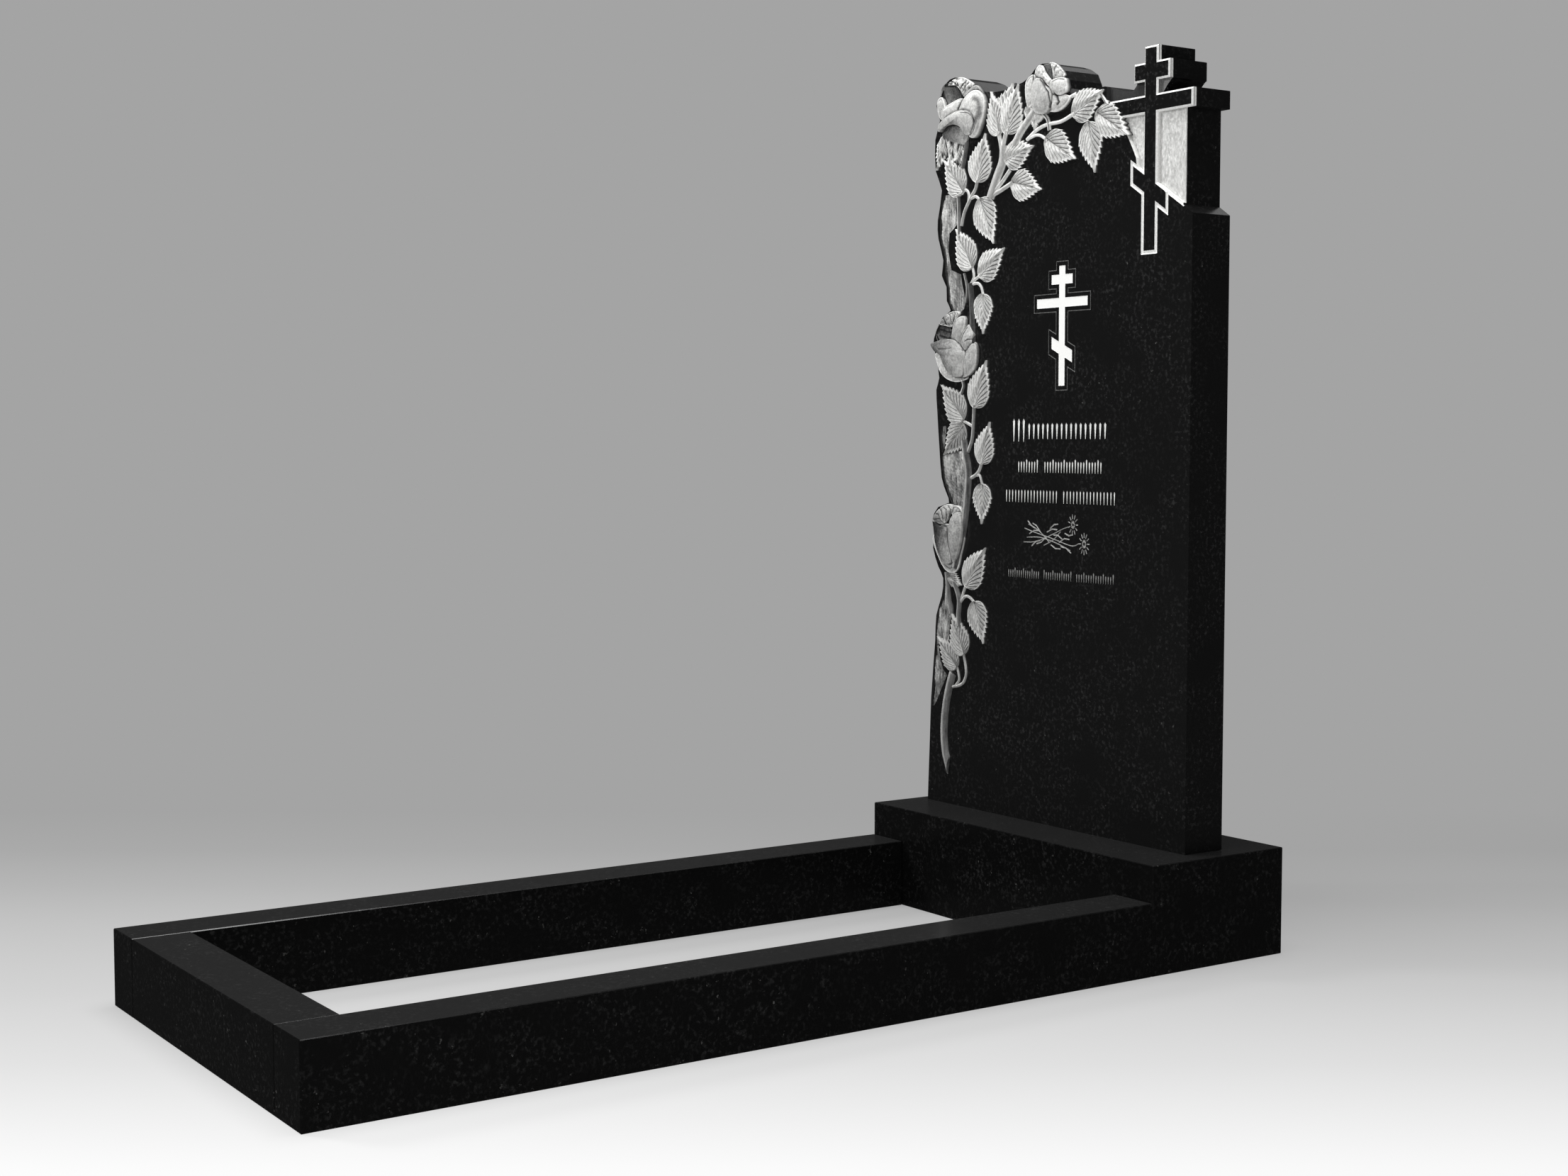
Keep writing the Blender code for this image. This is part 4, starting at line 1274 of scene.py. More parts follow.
@dataclass
class Blooms:
    """The four roses, and the hollows that show between their petals."""

    face: Face
    hollows = (
        (
            (-294, 1405), (-278, 1408), (-258, 1405), (-246, 1388), (-240, 1375), (-262, 1370),
            (-284, 1366), (-292, 1385),
        ),
        (
            (-309, 984), (-301, 996), (-289, 1000), (-273, 996), (-262, 985), (-262, 970), (-282, 968),
            (-298, 968),
        ),
    )

    def open_rose(self) -> Bloom:
        """Describe the wide rose in the upper left corner."""
        petals = (
            # The hollow in the cup is sunk below the face; its low tone and dark side are painted shade.
            Petal(
                0.6, -6.6,
                (
                    (-299, 1399), (-288, 1410), (-272, 1409), (-254, 1400), (-243, 1386), (-240, 1373),
                    (-262, 1368), (-286, 1364), (-296, 1376),
                ),
                0.44, (1, 0.2, 0.16), lip=0.15,
            ),
            Petal(
                2.5, 5,
                (
                    (-306, 1382), (-299, 1388), (-293, 1387), (-286, 1374), (-283, 1359), (-286, 1351),
                    (-297, 1351), (-305, 1365),
                ),
                0.8, (1, -0.3, 0.2),
            ),
            Petal(
                3, 7,
                (
                    (-278, 1407), (-262, 1414), (-239, 1415), (-219, 1407), (-206, 1398), (-219, 1390),
                    (-234, 1381), (-243, 1394), (-258, 1404),
                ),
                0.84, lip=0.7, crumple=0.6, buried=1.5,
            ),
            Petal(
                5, 8,
                (
                    (-232, 1383), (-217, 1391), (-198, 1396), (-184, 1386), (-178, 1372), (-195, 1370),
                    (-215, 1376),
                ),
                0.66, (0.3, 1, 0.1), lip=0.4, buried=1.5,
            ),
            Petal(
                4, 8,
                (
                    (-290, 1324), (-280, 1336), (-262, 1341), (-240, 1338), (-220, 1321), (-222, 1310),
                    (-230, 1301), (-252, 1306), (-270, 1311), (-284, 1315),
                ),
                0.66, (-0.6, 1, 0.36), lip=0.2, heart=(-250, 1318),
            ),
            Petal(
                6, 10,
                (
                    (-288, 1367), (-262, 1375), (-237, 1379), (-233, 1371), (-243, 1358), (-264, 1350),
                    (-284, 1347), (-291, 1357),
                ),
                0.86, (-0.2, -1, 0.1),
            ),
            Petal(
                8, 14,
                (
                    (-235, 1363), (-228, 1376), (-207, 1387), (-187, 1385), (-173, 1370), (-172, 1351),
                    (-179, 1331), (-192, 1312), (-205, 1309), (-216, 1317), (-227, 1342),
                ),
                0.82, (-0.2, -1, 0.06), lip=0.6, buried=1.5,
            ),
            Petal(
                9, 16,
                (
                    (-297, 1333), (-292, 1343), (-277, 1351), (-247, 1358), (-216, 1357), (-199, 1348),
                    (-195, 1336), (-199, 1325), (-212, 1315), (-223, 1317), (-231, 1327), (-243, 1334),
                    (-261, 1338), (-278, 1336), (-292, 1329),
                ),
                0.76, (-1, -0.3, 0.08), lip=0.35, heart=(-238, 1346),
            ),
        )
        creases = (
            Crease(((-227, 1405), (-235, 1399), (-239, 1393), (-236, 1382)), 1.3, 0.6),
            Crease(((-251, 1414), (-248, 1407), (-240, 1397))),
            Crease(((-218, 1403), (-226, 1397), (-233, 1390)), 0.9, 0.35),
            Crease(((-270, 1412), (-258, 1409), (-247, 1402)), 1.0, 0.55),
            Crease(((-288, 1408), (-276, 1408), (-262, 1407)), 1.6, 0.4),
            Crease(((-232, 1378), (-237, 1371), (-244, 1361)), 1.2, 0.5),
            Crease(((-197, 1373), (-186, 1369), (-181, 1357), (-184, 1343), (-192, 1334)), 4.6, 0.3),
            Crease(((-231, 1354), (-211, 1351), (-200, 1345), (-195, 1337)), 0.8, 0.3),
            Crease(((-242, 1359), (-232, 1360), (-221, 1358)), 0.8, 0.25),
            Crease(((-193, 1327), (-199, 1319), (-208, 1314)), 1.2, 0.2),
        )
        return Bloom("rose_open", petals, creases)

    def half_rose(self) -> Bloom:
        """Describe the half-open rose on the upper edge."""
        petals = (
            Petal(
                3, 6,
                (
                    (-72, 1383), (-64, 1391), (-54, 1394), (-48, 1389), (-50, 1371), (-54, 1349),
                    (-64, 1341), (-70, 1351), (-73, 1367),
                ),
                0.86, (1, 0, 0.08), crumple=0.2,
            ),
            Petal(
                2.5, 5,
                (
                    (-56, 1339), (-46, 1333), (-32, 1331), (-30, 1321), (-44, 1315), (-52, 1321),
                    (-56, 1331),
                ),
                0.84,
            ),
            Petal(
                2, 3,
                (
                    (-52, 1392), (-44, 1402), (-30, 1406), (-12, 1406), (0, 1398), (0, 1380),
                    (-14, 1366), (-34, 1368), (-48, 1376),
                ),
                0.46, (1, 0.3, 0.12), lip=0.3,
            ),
            Petal(
                3, 6,
                (
                    (-12, 1407), (-2, 1406), (9, 1400), (19, 1391), (25, 1382), (14, 1379), (-1, 1379),
                    (-5, 1388), (-7, 1398),
                ),
                0.86, (-1, 0, 0.1), lip=0.7, crumple=0.4, buried=1.5,
            ),
            Petal(
                5, 8,
                (
                    (-46, 1396), (-40, 1405), (-30, 1405), (-20, 1392), (-7, 1378), (-6, 1368),
                    (-15, 1372), (-27, 1383), (-38, 1388),
                ),
                0.88, (-1, -0.4, 0.1), lip=0.9, crumple=0.3,
            ),
            Petal(
                4, 8,
                (
                    (-10, 1358), (3, 1357), (20, 1354), (37, 1348), (38, 1342), (25, 1332), (7, 1327),
                    (-11, 1329), (-22, 1333), (-12, 1344),
                ),
                0.84, lip=0.8, buried=1.5,
            ),
            Petal(
                6, 10,
                (
                    (-5, 1378), (14, 1380), (29, 1377), (34, 1367), (34, 1357), (19, 1352), (4, 1355),
                    (-7, 1360), (-9, 1370),
                ),
                0.84, (-1, -0.4, 0.06), lip=0.5, buried=1.5,
            ),
            Petal(
                9, 15,
                (
                    (-50, 1348), (-50, 1370), (-43, 1384), (-29, 1384), (-18, 1372), (-5, 1361),
                    (-2, 1347), (-6, 1335), (-18, 1327), (-37, 1329), (-47, 1338),
                ),
                0.78, (1, 0.5, 0.08), lip=0.45,
            ),
        )
        creases = (
            Crease(
                ((-29, 1383), (-22, 1376), (-15, 1367), (-7, 1359), (-3, 1342), (-6, 1335)), 1.0, 0.45
            ),
            Crease(((-1, 1375), (12, 1378), (27, 1375)), 0.7, 0.2),
            Crease(((3, 1356), (11, 1349), (16, 1341), (12, 1338)), 2.0, 0.6),
            Crease(((6, 1404), (2, 1394), (4, 1384)), 0.8, 0.35),
            Crease(((-34, 1402), (-24, 1391), (-12, 1379)), 0.8, -0.15),
        )
        return Bloom("rose_half_open", petals, creases)

    def cup_rose(self) -> Bloom:
        """Describe the cup-shaped rose half way up."""
        petals = (
            # The hollow in the cup is sunk below the face; its low tone and dark side are painted shade.
            Petal(
                0.4, -6.4,
                (
                    (-311, 984), (-303, 998), (-289, 1004), (-271, 999), (-260, 986), (-260, 968),
                    (-282, 966), (-300, 967),
                ),
                0.44, (-0.2, 1, 0.12), lip=0.1,
            ),
            Petal(
                2.5, 5,
                (
                    (-309, 950), (-305, 936), (-295, 918), (-277, 906), (-253, 900), (-231, 902),
                    (-219, 908), (-225, 930), (-255, 950), (-285, 955),
                ),
                0.84, (1, 0.4, 0.12), lip=0.9, crumple=0.2,
            ),
            Petal(
                3, 6,
                (
                    (-297, 1001), (-285, 1012), (-270, 1019), (-253, 1021), (-241, 1017), (-251, 1006),
                    (-262, 995), (-280, 997),
                ),
                0.74, (-1, -0.3, 0.2), lip=0.7, crumple=0.3,
            ),
            Petal(
                2.5, 5, ((-209, 960), (-200, 966), (-194, 960), (-194, 949), (-205, 950)), 0.7, buried=1.5
            ),
            Petal(
                5, 9,
                (
                    (-261, 973), (-259, 989), (-253, 1002), (-241, 1010), (-227, 1011), (-223, 1002),
                    (-227, 989), (-236, 971), (-241, 961), (-253, 965),
                ),
                0.74, (-1, -0.2, 0.12), lip=0.5,
            ),
            Petal(
                6, 10,
                (
                    (-237, 965), (-232, 979), (-222, 989), (-212, 996), (-202, 981), (-204, 971),
                    (-206, 962), (-216, 951), (-224, 947), (-236, 957),
                ),
                0.72, (-1, -1, 0.06), lip=0.4,
            ),
            Petal(
                6, 11,
                (
                    (-227, 946), (-217, 953), (-205, 963), (-195, 962), (-191, 949), (-194, 928),
                    (-205, 915), (-221, 908), (-231, 910), (-231, 928),
                ),
                0.72, (-0.4, 0.3, 0.08), lip=0.4, buried=1.5,
            ),
            Petal(
                9, 17,
                (
                    (-314, 967), (-297, 971), (-278, 974), (-252, 972), (-236, 962), (-220, 948),
                    (-224, 930), (-227, 911), (-247, 909), (-265, 916), (-279, 931), (-289, 947),
                    (-305, 955),
                ),
                0.66, (-1, 0.25, 0.26), lip=0.2,
            ),
        )
        creases = (
            Crease(((-272, 1018), (-264, 1013), (-262, 1003)), 0.8, 0.45),
            Crease(((-257, 1021), (-252, 1016), (-255, 1008), (-261, 999)), 0.8, 0.45),
            Crease(((-247, 1017), (-244, 1013), (-250, 1005), (-257, 997)), 0.8, 0.4),
            Crease(((-287, 1011), (-280, 1006), (-276, 999)), 1.0, 0.5),
            Crease(((-302, 992), (-286, 987), (-267, 985)), 1.5, 0.2),
            Crease(((-303, 981), (-286, 976), (-270, 975)), 1.8, 0.22),
            Crease(((-298, 1000), (-284, 1001), (-271, 994), (-265, 985)), 1.0, -0.25),
            Crease(((-219, 968), (-212, 971), (-203, 971)), 0.8, 0.35),
            Crease(((-285, 957), (-271, 956), (-253, 957)), 1.6, 0.08),
            Crease(((-216, 991), (-228, 979), (-233, 965), (-225, 953)), 1.0, 0.4),
        )
        return Bloom("rose_cup", petals, creases)

    def bud_rose(self) -> Bloom:
        """Describe the closed rose lower down."""
        petals = (
            Petal(
                2.5, 5,
                (
                    (-312, 634), (-310, 618), (-300, 600), (-287, 583), (-273, 573), (-255, 571),
                    (-242, 581), (-235, 602), (-226, 636), (-245, 650), (-285, 655),
                ),
                0.72, (1, 0.3, 0.1), lip=1.0,
            ),
            Petal(
                3, 5,
                ((-261, 684), (-247, 688), (-235, 682), (-234, 668), (-247, 666), (-261, 674)),
                0.66, crumple=0.2,
            ),
            Petal(
                4, 8,
                (
                    (-313, 660), (-306, 672), (-294, 681), (-279, 688), (-264, 690), (-256, 684),
                    (-264, 672), (-275, 660), (-284, 655), (-299, 656),
                ),
                0.7, (-1, -0.3, 0.16), lip=0.5,
            ),
            # The left petal: its low tone and dark side are painted shadow.
            Petal(
                7, 11,
                (
                    (-306, 656), (-292, 652), (-273, 648), (-268, 625), (-260, 604), (-258, 590),
                    (-270, 587), (-286, 596), (-299, 615), (-305, 638),
                ),
                0.6, (-1, 0.3, 0.5), lip=0.12,
            ),
            Petal(
                9, 16,
                (
                    (-261, 649), (-258, 663), (-248, 673), (-236, 677), (-229, 668), (-226, 651),
                    (-229, 629), (-237, 606), (-244, 594), (-250, 591), (-258, 611), (-263, 633),
                ),
                0.66, (-1, 0, 0.06), lip=0.25,
            ),
        )
        creases = (
            Crease(((-293, 682), (-283, 677), (-280, 665)), 0.8, 0.45),
            Crease(((-268, 687), (-260, 680), (-266, 670), (-273, 658)), 0.8, 0.45),
            Crease(((-280, 684), (-271, 680), (-271, 668), (-275, 661)), 0.8, 0.4),
            Crease(((-303, 672), (-293, 672), (-287, 664)), 0.8, 0.4),
            Crease(((-311, 662), (-290, 664), (-276, 652)), 1.0, 0.25),
            Crease(((-290, 668), (-278, 656), (-272, 645)), 0.9, -0.2),
            Crease(((-266, 655), (-265, 628), (-253, 589)), 1.0, 0.45),
            Crease(((-285, 585), (-265, 578), (-243, 588)), 1.2, 0.25),
            Crease(((-301, 606), (-288, 590), (-272, 580)), 1.0, 0.15),
        )
        return Bloom("rose_bud", petals, creases)

    def build(self, finishes: Finishes) -> list[bpy.types.Object]:
        """Build each rose as a piece of its own."""
        blooms = (self.open_rose(), self.half_rose(), self.cup_rose(), self.bud_rose())
        return [bloom.build(self.face, finishes) for bloom in blooms]


@dataclass(frozen=True)
class Bank:
    """A band of rough stone: rows of height, left x and right x, from the top down, and its shade."""

    rows: tuple[tuple[float, float, float], ...]
    tone: float = 0.62
    low_tone: float = 0.5

    def outline(self) -> list[Drawn]:
        """Draw round the band."""
        down = [(left, z) for z, left, _ in self.rows]
        up = [(right, z) for z, _, right in reversed(self.rows)]
        return [*down, *up]

    def sides(self, v: float) -> tuple[Vector, Vector]:
        """Give the left and the right point at v, which runs from the top 0 to the foot 1."""
        place = v * (len(self.rows) - 1)
        i = min(int(place), len(self.rows) - 2)
        (z0, l0, r0), (z1, l1, r1) = self.rows[i], self.rows[i + 1]
        t = place - i
        z = z0 + (z1 - z0) * t
        return Vector((l0 + (l1 - l0) * t, z)), Vector((r0 + (r1 - r0) * t, z))


@dataclass
class Ground:
    """Stone left rough beside the stems, and the floors of the panels beside the cross.

    Args:
        face: The drawn face.
        level: Height of the floors, in millimetres proud.
        rough: How far they rise and fall, in millimetres.
        tone: Their frost.
        contrast: How much the frost varies.
        grain: Size of the roughness across and upwards, in millimetres.
        steps: Pieces between each two points of their outlines.
        right_end: Where the floor on the right of the cross ends.
    """

    face: Face
    level: float = -7.2
    rough: float = 0.35
    tone: float = 0.8
    contrast: float = 0.16
    grain: tuple[float, float] = (2.6, 4.6)
    steps: int = 20
    right_end: float = 289.8
    banks = (
        Bank(
            (
                (1221, -290, -262), (1212, -294, -257), (1196, -297, -257), (1184, -300, -255),
                (1170, -300, -252), (1162, -300, -262), (1155, -300, -274), (1140, -296, -276),
                (1125, -290, -277), (1116, -287, -275), (1104, -286, -272), (1092, -286, -268),
                (1083, -284, -242), (1064, -278, -238), (1051, -276, -233), (1036, -274, -229),
                (1024, -265, -233), (1017, -258, -246),
            ),
            0.62, 0.56,
        ),
        Bank(((825, -296, -280), (810, -297, -282), (790, -295, -285), (779, -292, -287)), 0.5, 0.45),
        Bank(
            (
                (782, -244, -226), (774, -292, -223), (759, -291, -221), (745, -289, -221),
                (734, -287, -222), (720, -280, -224), (710, -275, -225), (698, -269, -228),
                (691, -264, -229), (680, -262, -235), (667, -258, -240),
            ),
            0.66, 0.34,
        ),
        Bank(
            (
                (556, -284, -280), (545, -286, -279), (535, -287, -276), (527, -289, -268),
                (516, -295, -258), (504, -301, -258), (488, -305, -266), (471, -307, -269),
                (457, -308, -270), (444, -308.5, -274),
            ),
            0.58, 0.5,
        ),
        Bank(
            (
                (444, -307, -299), (436, -308, -298), (414, -311, -293), (400, -312, -285),
                (392, -313, -275), (385, -314, -279), (363, -316, -293), (345, -318, -303),
                (335, -318.5, -311),
            ),
            0.48, 0.42,
        ),
    )  # fmt: skip

    def add_bank(self, relief: Relief, bank: Bank) -> None:
        """Add one band of rough stone, painted darker at its left edge as shade, and darker in streaks
        down its length.
        """

        def place(u: float, v: float) -> Placed:
            left, right = bank.sides(v)
            point = left.lerp(right, u)
            lumps = noise.noise(Vector((point.x / 13, point.y / 26, 4.4)))
            streaks = noise.noise(Vector((point.x / 3.6, point.y / 15, 8.8)))
            grit = noise.noise(Vector((point.x / 2.2, point.y / 3.2, 2.1)))
            # Painted shade: the band turns darker within a few millimetres of its left edge.
            rim = 1 - ease(0.0, 4.5, (point - left).length)
            tone = bank.tone + (bank.low_tone - bank.tone) * v
            frost_and_shading = tone + 0.2 * lumps + 0.26 * streaks + 0.26 * grit
            return (point.x, point.y, -2.4 + 1.7 * lumps + 0.8 * streaks + 0.3 * grit, frost_and_shading - 0.4 * rim)

        relief.patch(24, 8 * (len(bank.rows) - 1), place, buried=10.0)

    def add_floor(self, relief: Relief, outline: Sequence[Drawn]) -> None:
        """Add a rough floor inside an outline."""
        middle = middle_of(outline)
        ring: list[Vector] = []
        for start, end in zip(outline, [*outline[1:], outline[0]]):
            a, b = Vector(start), Vector(end)
            ring += [a.lerp(b, k / self.steps) for k in range(self.steps)]

        def place(u: float, v: float) -> Placed:
            edge = ring[round(u * len(ring)) % len(ring)]
            point = middle + (edge - middle) * (v**0.7)
            spot = Vector((point.x / self.grain[0], point.y / self.grain[1], 4.4))
            bumps = noise.noise(spot) + 0.5 * noise.noise(spot * 2.3)
            return (point.x, point.y, self.level + self.rough * bumps, self.tone + self.contrast * bumps)

        relief.patch(len(ring), 26, place, buried=10.0)

    def build(self, finishes: Finishes) -> bpy.types.Object:
        """Build every rough floor in one piece."""
        relief = Relief(self.face)
        for bank in self.banks:
            self.add_bank(relief, bank)
        top = LONG_LOW - 0.5
        right = (
            (STEM_RIGHT + 1, bar_edge(STEM_RIGHT + 1) + 1),
            (self.right_end, bar_edge(self.right_end) + 1),
            (self.right_end, top),
            (STEM_RIGHT + 1, top),
        )
        left = (
            (STEM_LEFT - 1, BAR_HIGH + 2),
            (STEM_LEFT - 1, top),
            (152, top),
            (167, 1275),
            (179, 1255),
            (189, 1236),
            (191, 1223),
        )
        for outline in (right, left):
            self.add_floor(relief, outline)
        return relief.finish("rough_ground", finishes.carved)


# ---- Marks on the polished face


@dataclass(frozen=True)
class StrokeRow:
    """A row of upright chisel strokes.

    Args:
        name: The cutter's name.
        words: Left and right end of each group of strokes.
        foot: Height of the row's foot.
        heights: Heights that the strokes take in turn.
        width: Width of a stroke.
        pitch: Distance between two strokes.
        finish: What the strokes leave behind.
    """

    name: str
    words: tuple[Drawn, ...]
    foot: float
    heights: tuple[float, ...]
    width: float
    pitch: float
    finish: Finish = Finish.FROSTED


@dataclass
class Marks:
    """The small cross, the rows of strokes and the sprig that are cut into the polished face."""

    face: Face
    finishes: Finishes
    clear: float = 1.0
    stroke_depth: float = 0.7
    cross_depth: float = 0.4
    rows: tuple[StrokeRow, ...] = (
        StrokeRow("row_large_first", ((-99, -74),), 798, (38,), 5.2, 11.4),
        StrokeRow("row_large", ((-60, 124),), 802, (26,), 5.0, 11.4),
        StrokeRow("row_second", ((-86, -39), (-20, 115)), 747, (18.5, 18.5, 18.5, 22.5), 3.2, 6.6),
        StrokeRow("row_third", ((-117, 9), (27, 147)), 697.5, (21,), 2.8, 7.8),
        StrokeRow(
            "row_last", ((-110, -34), (-20, 46), (60, 146)), 572, (13, 13, 13, 17), 2.3, 5.6, Finish.SOFT
        ),
    )

    def keep(self, bm: bmesh.types.BMesh, name: str, finish: Finish) -> bpy.types.Object:
        """Turn a closed bmesh into a cutter in one finish."""
        return finish_cutter(bm, name, finish, self.finishes)

    def cut_row(self, row: StrokeRow) -> bpy.types.Object:
        """Cut a row of chisel strokes."""
        bm = bmesh.new()
        taken = 0
        for left, right in row.words:
            count = max(2, round((right - left) / row.pitch) + 1)
            for k in range(count):
                x = left + (right - left) * k / (count - 1)
                height = row.heights[taken % len(row.heights)]
                taken += 1
                self.stroke(bm, Vector((x, row.foot)), Vector((x, row.foot + height)), row.width)
        return self.keep(bm, row.name, row.finish)

    def stroke(self, bm: bmesh.types.BMesh, foot: Vector, top: Vector, width: float) -> None:
        """Add one chisel stroke, wide at its top and pointed at its foot."""
        along = top - foot
        side = Vector((along.y, -along.x)).normalized() * width / 2
        brow = top - along * 0.12
        shape = ((foot, 0.25), (foot, -0.25), (brow, -1.0), (top, 0.0), (brow, 1.0))
        spots = [spot + side * s for spot, s in shape]
        lid = [self.face.at(spot.x, spot.y, self.clear) for spot in spots]
        extrude_outline(bm, lid, self.clear + self.stroke_depth)

    def line(
        self,
        name: str,
        paths: Iterable[Sequence[Drawn]],
        width: float,
        finish: Finish,
        closed: bool = False,
    ) -> bpy.types.Object:
        """Cut thin lines along paths.

        Args:
            name: The cutter's name.
            paths: The middle of each line.
            width: Width of the lines at the face, in millimetres.
            finish: What the lines leave behind.
            closed: True for loops.

        Returns:
            The cutter.
        """
        bm = bmesh.new()
        half = width / 2
        deep, mouth = half * 0.7, self.clear
        sides = [(-half, mouth), (half, mouth), (deep, -self.stroke_depth), (-deep, -self.stroke_depth)]
        for path in paths:
            part = bmesh.new()
            sweep_section(part, self.face, path, sides, closed)
            mesh = bpy.data.meshes.new("part")
            part.to_mesh(mesh)
            part.free()
            bm.from_mesh(mesh)
            bpy.data.meshes.remove(mesh)
        return self.keep(bm, name, finish)

    def small_cross(self) -> list[bpy.types.Object]:
        """Cut the small white cross and the thin grey line round it."""
        slope = -0.46
        inner = slanted_cross(
            (11.7, 26.3, 1081.0, 888.0),
            (-7.0, 44.0, 1051.5, 1067.0),
            (-42.6, 80.0, 1014.5, 1029.6),
            (-6.0, 44.0, 940.0, 959.5),
            slope,
        )
        outer = slanted_cross(
            (4.9, 33.1, 1088.0, 881.0),
            (-14.0, 51.0, 1044.5, 1074.0),
            (-49.5, 87.0, 1007.5, 1036.5),
            (-13.0, 51.0, 931.0, 971.5),
            slope,
        )
        bm = bmesh.new()
        lid = [self.face.at(x, z, self.clear) for x, z in inner]
        extrude_outline(bm, lid, self.clear + self.cross_depth)
        return [
            self.keep(bm, "small_cross", Finish.PAINTED),
            self.line("small_cross_line", [outer], 1.6, Finish.DIM, closed=True),
        ]

    def sprig(self) -> list[bpy.types.Object]:
        """Cut a plain sprig: stalks that cross, narrow leaves and two round heads of short rays."""
        stalks = [
            smooth_curve(path, 5)
            for path in (
                ((-70, 655), (-40, 648), (0, 640), (46, 630), (64, 634)),
                ((-72, 632), (-40, 634), (-5, 645), (24, 656), (38, 660)),
                ((-64, 640), (-30, 641), (10, 633), (44, 622)),
                ((-60, 662), (-34, 652), (-8, 634)),
                ((-22, 628), (2, 638), (20, 652)),
            )
        ]
        leaves = [
            [Vector(a), Vector(a).lerp(Vector(b), 0.5) + Vector((0, bow)), Vector(b)]
            for a, b, bow in (
                ((-62, 668), (-44, 656), -2), ((-50, 664), (-30, 650), 3), ((-58, 646), (-34, 652), 3),
                ((-52, 626), (-30, 636), 3), ((-40, 630), (-16, 642), -3), ((-14, 650), (12, 655), 3),
                ((-4, 630), (20, 624), -3), ((2, 646), (24, 640), 3), ((16, 634), (42, 640), 4),
                ((20, 628), (46, 618), 3), ((-6, 656), (14, 664), 3), ((30, 650), (50, 648), -3),
            )
        ]  # fmt: skip
        rays: list[list[Vector]] = []
        for x, z, size, count in ((50.0, 664.0, 17.0, 11), (77.0, 634.0, 18.0, 12)):
            middle = Vector((x, z))
            for k in range(count):
                turn = 2 * math.pi * k / count
                out = Vector((0.72 * math.cos(turn), math.sin(turn)))
                rays.append([middle + out * size * 0.55, middle + out * size])
                rays.append([middle + out * size * 0.16, middle + out * size * 0.4])
        return [
            self.line("sprig_stalks", stalks, 1.9, Finish.SOFT),
            self.line("sprig_leaves", leaves, 2.6, Finish.SOFT),
            self.line("sprig_heads", rays, 2.2, Finish.SOFT),
        ]

    def build(self) -> list[bpy.types.Object]:
        """Make every cutter of the small marks."""
        return [*map(self.cut_row, self.rows), *self.small_cross(), *self.sprig()]


# ---- Base


@dataclass
class Base:
    """The plinth and the three kerbs, which keep their solids."""

    nodes: tuple[str, ...] = ("plinth", "kerb_left", "kerb_right", "kerb_front")

    def dress(self, finishes: Finishes) -> None:
        """Give each stone its polish."""
        for name in self.nodes:
            stone = frame["nodes"][name]
            for slot in stone.material_slots:
                slot.material = finishes.polished
            LOG.info("%s keeps its solid, polished", name)


# ---- Studio


@dataclass(frozen=True)
class FloorPaint:
    """The studio's pale floor, which glows with a painted pool of light: white by the camera, it fades
    into the backdrop's grey.

    Pool gives the distances from the middle between which it turns as grey as the backdrop. Start, end,
    fade and the stops are distances in front of the camera's foot. All are in metres.
    """

    name: str = "pale studio floor with a painted pool of light"
    base: str = "#6c6c6c"
    away: str = "#a4a4a4"
    pool: tuple[float, float] = (2.6, 5.0)
    start: float = 2.3
    end: float = 5.2
    fade: tuple[float, float] = (3.9, 4.7)
    stops: tuple[tuple[float, str], ...] = (
        (2.36, "#e2e2e2"),
        (2.77, "#c3c3c3"),
        (3.14, "#aeaeae"),
        (3.61, "#989898"),
        (3.9, "#868686"),
        (4.24, "#8f8f8f"),
        (4.7, "#a4a4a4"),
    )

    def make(self, camera_at: Sequence[float], yaw: float) -> bpy.types.Material:
        """Build the node material.

        Args:
            camera_at: Where the camera stands.
            yaw: Where it looks, in degrees.

        Returns:
            The material.
        """
        material, tree, shader = new_material(self.name)
        place = object_place(tree)
        ahead = (-math.sin(math.radians(yaw)), math.cos(math.radians(yaw)), 0.0)
        along = add_node(tree, "ShaderNodeVectorMath", {0: place, 1: ahead}, operation="DOT_PRODUCT")
        far = along.outputs["Value"]
        zero = camera_at[0] * ahead[0] + camera_at[1] * ahead[1]
        length = self.end - self.start
        stops = [((metres - self.start) / length, colour) for metres, colour in self.stops]
        # Painted light: the floor glows white near the camera's foot and fades to the backdrop's grey
        # further off, as a pool of light.
        glow = colour_ramp(tree, spread(tree, far, (zero + self.start, zero + self.end)), stops)
        fade = spread(tree, far, (zero + self.fade[0], zero + self.fade[1]))
        from_middle = add_node(tree, "ShaderNodeVectorMath", {0: place}, operation="LENGTH")
        outside = spread(tree, from_middle.outputs["Value"], self.pool, interpolation_type="SMOOTHSTEP")
        unlit = combine(tree, "MAXIMUM", fade, outside)
        base = blend(tree, unlit, linear(self.base), linear("#000000"))
        shine = blend(tree, outside, glow, linear(self.away))
        tree.links.new(base, shader.inputs["Base Color"])
        tree.links.new(shine, shader.inputs["Emission Color"])
        shader.inputs["Emission Strength"].default_value = 1.0
        shader.inputs["Roughness"].default_value = 1.0
        shader.inputs["Specular IOR Level"].default_value = 0.0
        return material


@dataclass(frozen=True)
class SoftBox:
    """A round soft box.

    Args:
        name: The light's name.
        at: Where it hangs.
        aim: What it is turned to.
        size: Its width, in metres.
        power: Its power, in watts.
        mirrored: True if the polish mirrors it.
    """

    name: str
    at: tuple[float, float, float]
    aim: tuple[float, float, float]
    size: float
    power: float
    mirrored: bool = True

    def hang(self) -> None:
        """Hang it in the scene."""
        data = bpy.data.lights.new(self.name, "AREA")
        data.shape = "DISK"
        data.size = self.size
        data.energy = self.power
        made = bpy.data.objects.new(self.name, data)
        made.location = self.at
        made.rotation_euler = (Vector(self.aim) - Vector(self.at)).to_track_quat("-Z", "Y").to_euler()
        made.visible_glossy = self.mirrored
        bpy.context.scene.collection.objects.link(made)


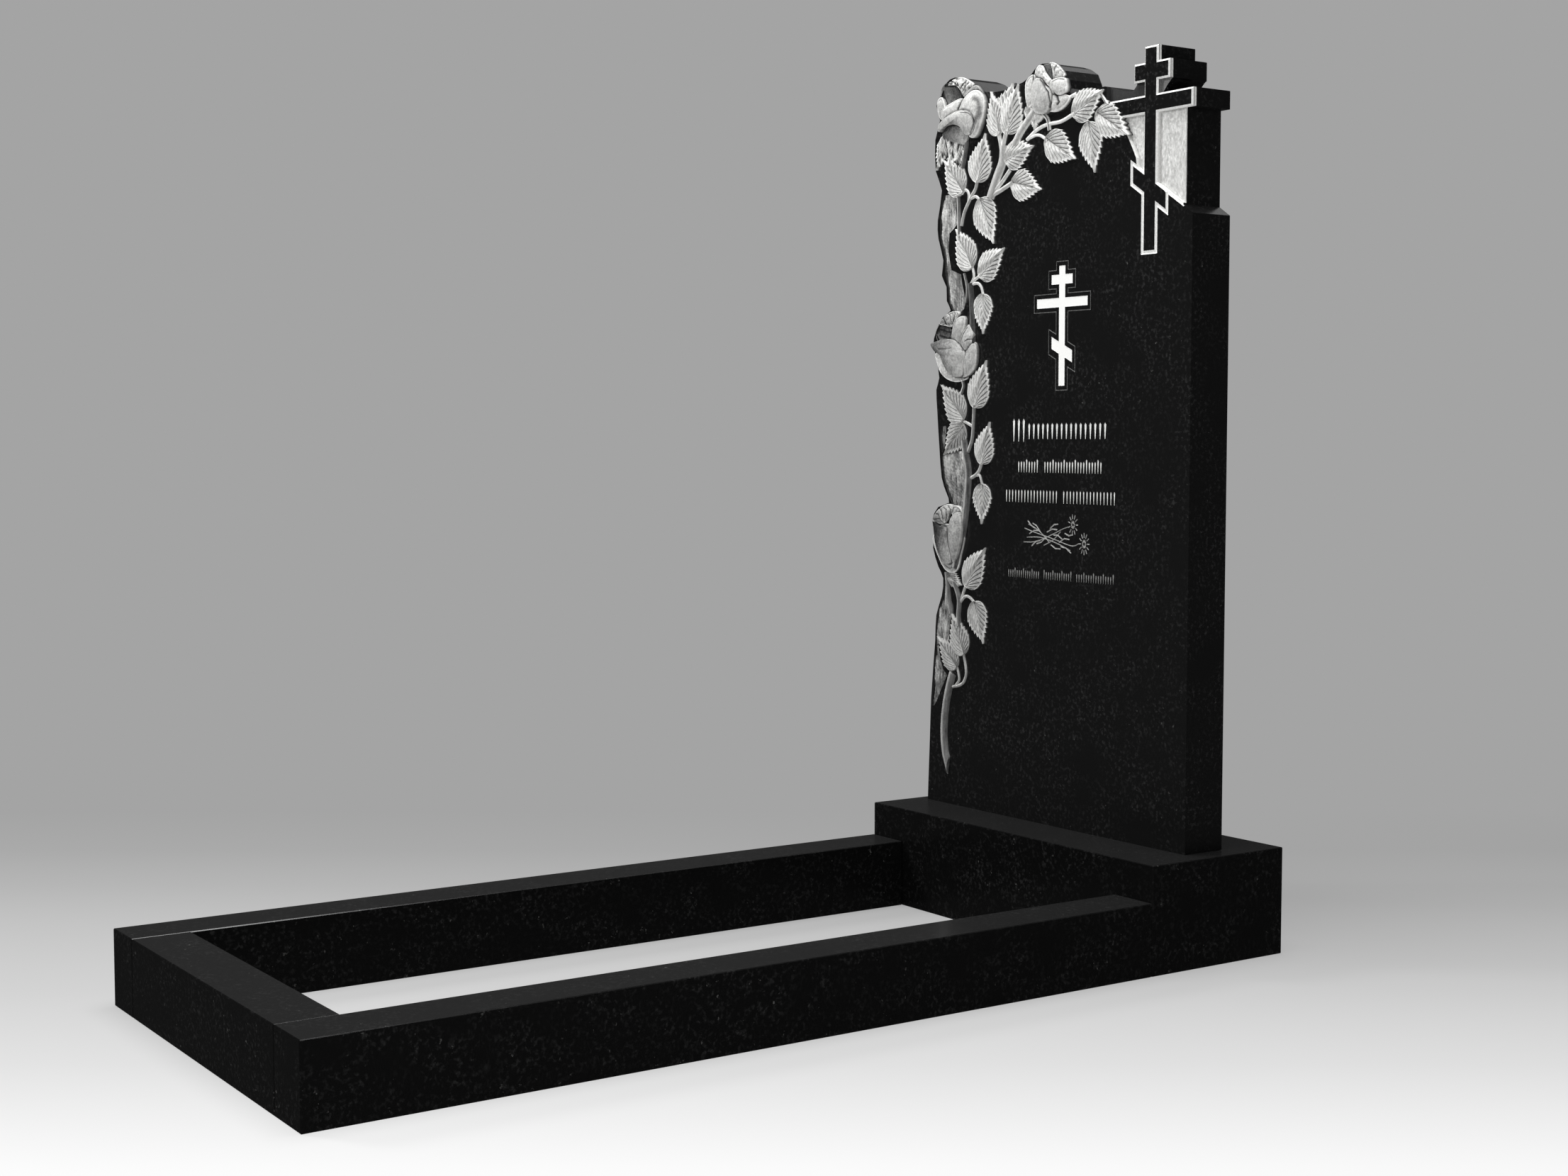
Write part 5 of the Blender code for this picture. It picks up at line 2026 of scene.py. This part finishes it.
@dataclass
class Studio:
    """Pale floor, grey backdrop, soft lights and the camera."""

    camera_at: tuple[float, float, float] = (2.7183, -1.7288, 0.7986)
    yaw: float = 56.02
    pitch: float = -3.83
    lens: float = 50.31
    backdrop: str = "#a4a4a4"
    room: str = "#2b2b2b"
    room_radius: float = 14.0
    boxes: tuple[SoftBox, ...] = (
        SoftBox("key", (-2.6, -2.6, 3.2), (0.0, 0.6, 0.9), 1.2, 120.0, mirrored=False),
        SoftBox("fill", (3.4, -2.4, 1.6), (0.0, 0.6, 0.8), 2.4, 29.0),
        SoftBox("top", (0.0, -0.1, 4.5), (0.0, 0.0, 0.0), 3.0, 225.0),
        SoftBox("back", (-0.9, 3.5, 4.8), (0.0, 0.6, 1.2), 4.4, 26.0),
    )

    def build(self) -> None:
        """Set the scene round the memorial."""
        self.camera()
        self.surroundings()
        for box in self.boxes:
            box.hang()
        bpy.context.scene.view_settings.view_transform = "Standard"

    def camera(self) -> None:
        """Stand the camera where the photograph was taken."""
        data = bpy.data.cameras.new("camera")
        data.lens = self.lens
        data.sensor_width = 36.0
        data.clip_end = 60.0
        made = bpy.data.objects.new("camera", data)
        made.location = self.camera_at
        made.rotation_euler = Euler((math.radians(90 + self.pitch), 0, math.radians(self.yaw)))
        bpy.context.scene.collection.objects.link(made)
        bpy.context.scene.camera = made

    def surroundings(self) -> None:
        """Lay the floor, hang the backdrop and set the even light of the room."""
        bm = bmesh.new()
        bmesh.ops.create_grid(bm, x_segments=1, y_segments=1, size=self.room_radius / 2)
        floor = finish_piece(bm, "floor", [FloorPaint().make(self.camera_at, self.yaw)], None)
        floor.visible_glossy = False
        bm = bmesh.new()
        bmesh.ops.create_uvsphere(bm, u_segments=48, v_segments=24, radius=self.room_radius)
        bmesh.ops.reverse_faces(bm, faces=bm.faces)
        backdrop = finish_piece(bm, "backdrop", [self.glow()], 180.0)
        backdrop.visible_diffuse = False
        backdrop.visible_glossy = False
        backdrop.visible_shadow = False
        world = bpy.data.worlds.new("studio")
        world.use_nodes = True
        world.node_tree.nodes["Background"].inputs["Color"].default_value = linear(self.room)
        bpy.context.scene.world = world

    def glow(self) -> bpy.types.Material:
        """Light the backdrop evenly."""
        material, _, shader = new_material("backdrop paper, evenly lit")
        shader.inputs["Base Color"].default_value = linear("#000000")
        shader.inputs["Emission Color"].default_value = linear(self.backdrop)
        shader.inputs["Emission Strength"].default_value = 1.0
        shader.inputs["Specular IOR Level"].default_value = 0.0
        return material


def main() -> None:
    """Build and dress the memorial, then the studio round it."""
    logging.basicConfig(level=logging.INFO, format="%(name)s: %(message)s")
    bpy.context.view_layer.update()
    box_low, box_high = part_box("stele")
    front = box_high.y - Slab.thickness * MM
    face = Face(y=front, foot_gap=box_low.z - DRAWN_FOOT * MM, low=box_low, high=box_high)
    finishes = Finishes()
    Base().dress(finishes)
    slab = Slab(face).build(Marks(face, finishes).build(), finishes)
    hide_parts("stele")
    pieces = [
        slab,
        Ground(face).build(finishes),
        Stems(face).build(finishes),
        Leaves(face).build(finishes),
        *Blooms(face).build(finishes),
    ]
    for piece in pieces:
        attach(piece, BODY)
        LOG.info("%s: %d faces", piece.name, len(piece.data.polygons))
    Studio().build()


if __name__ == "__main__":
    main()
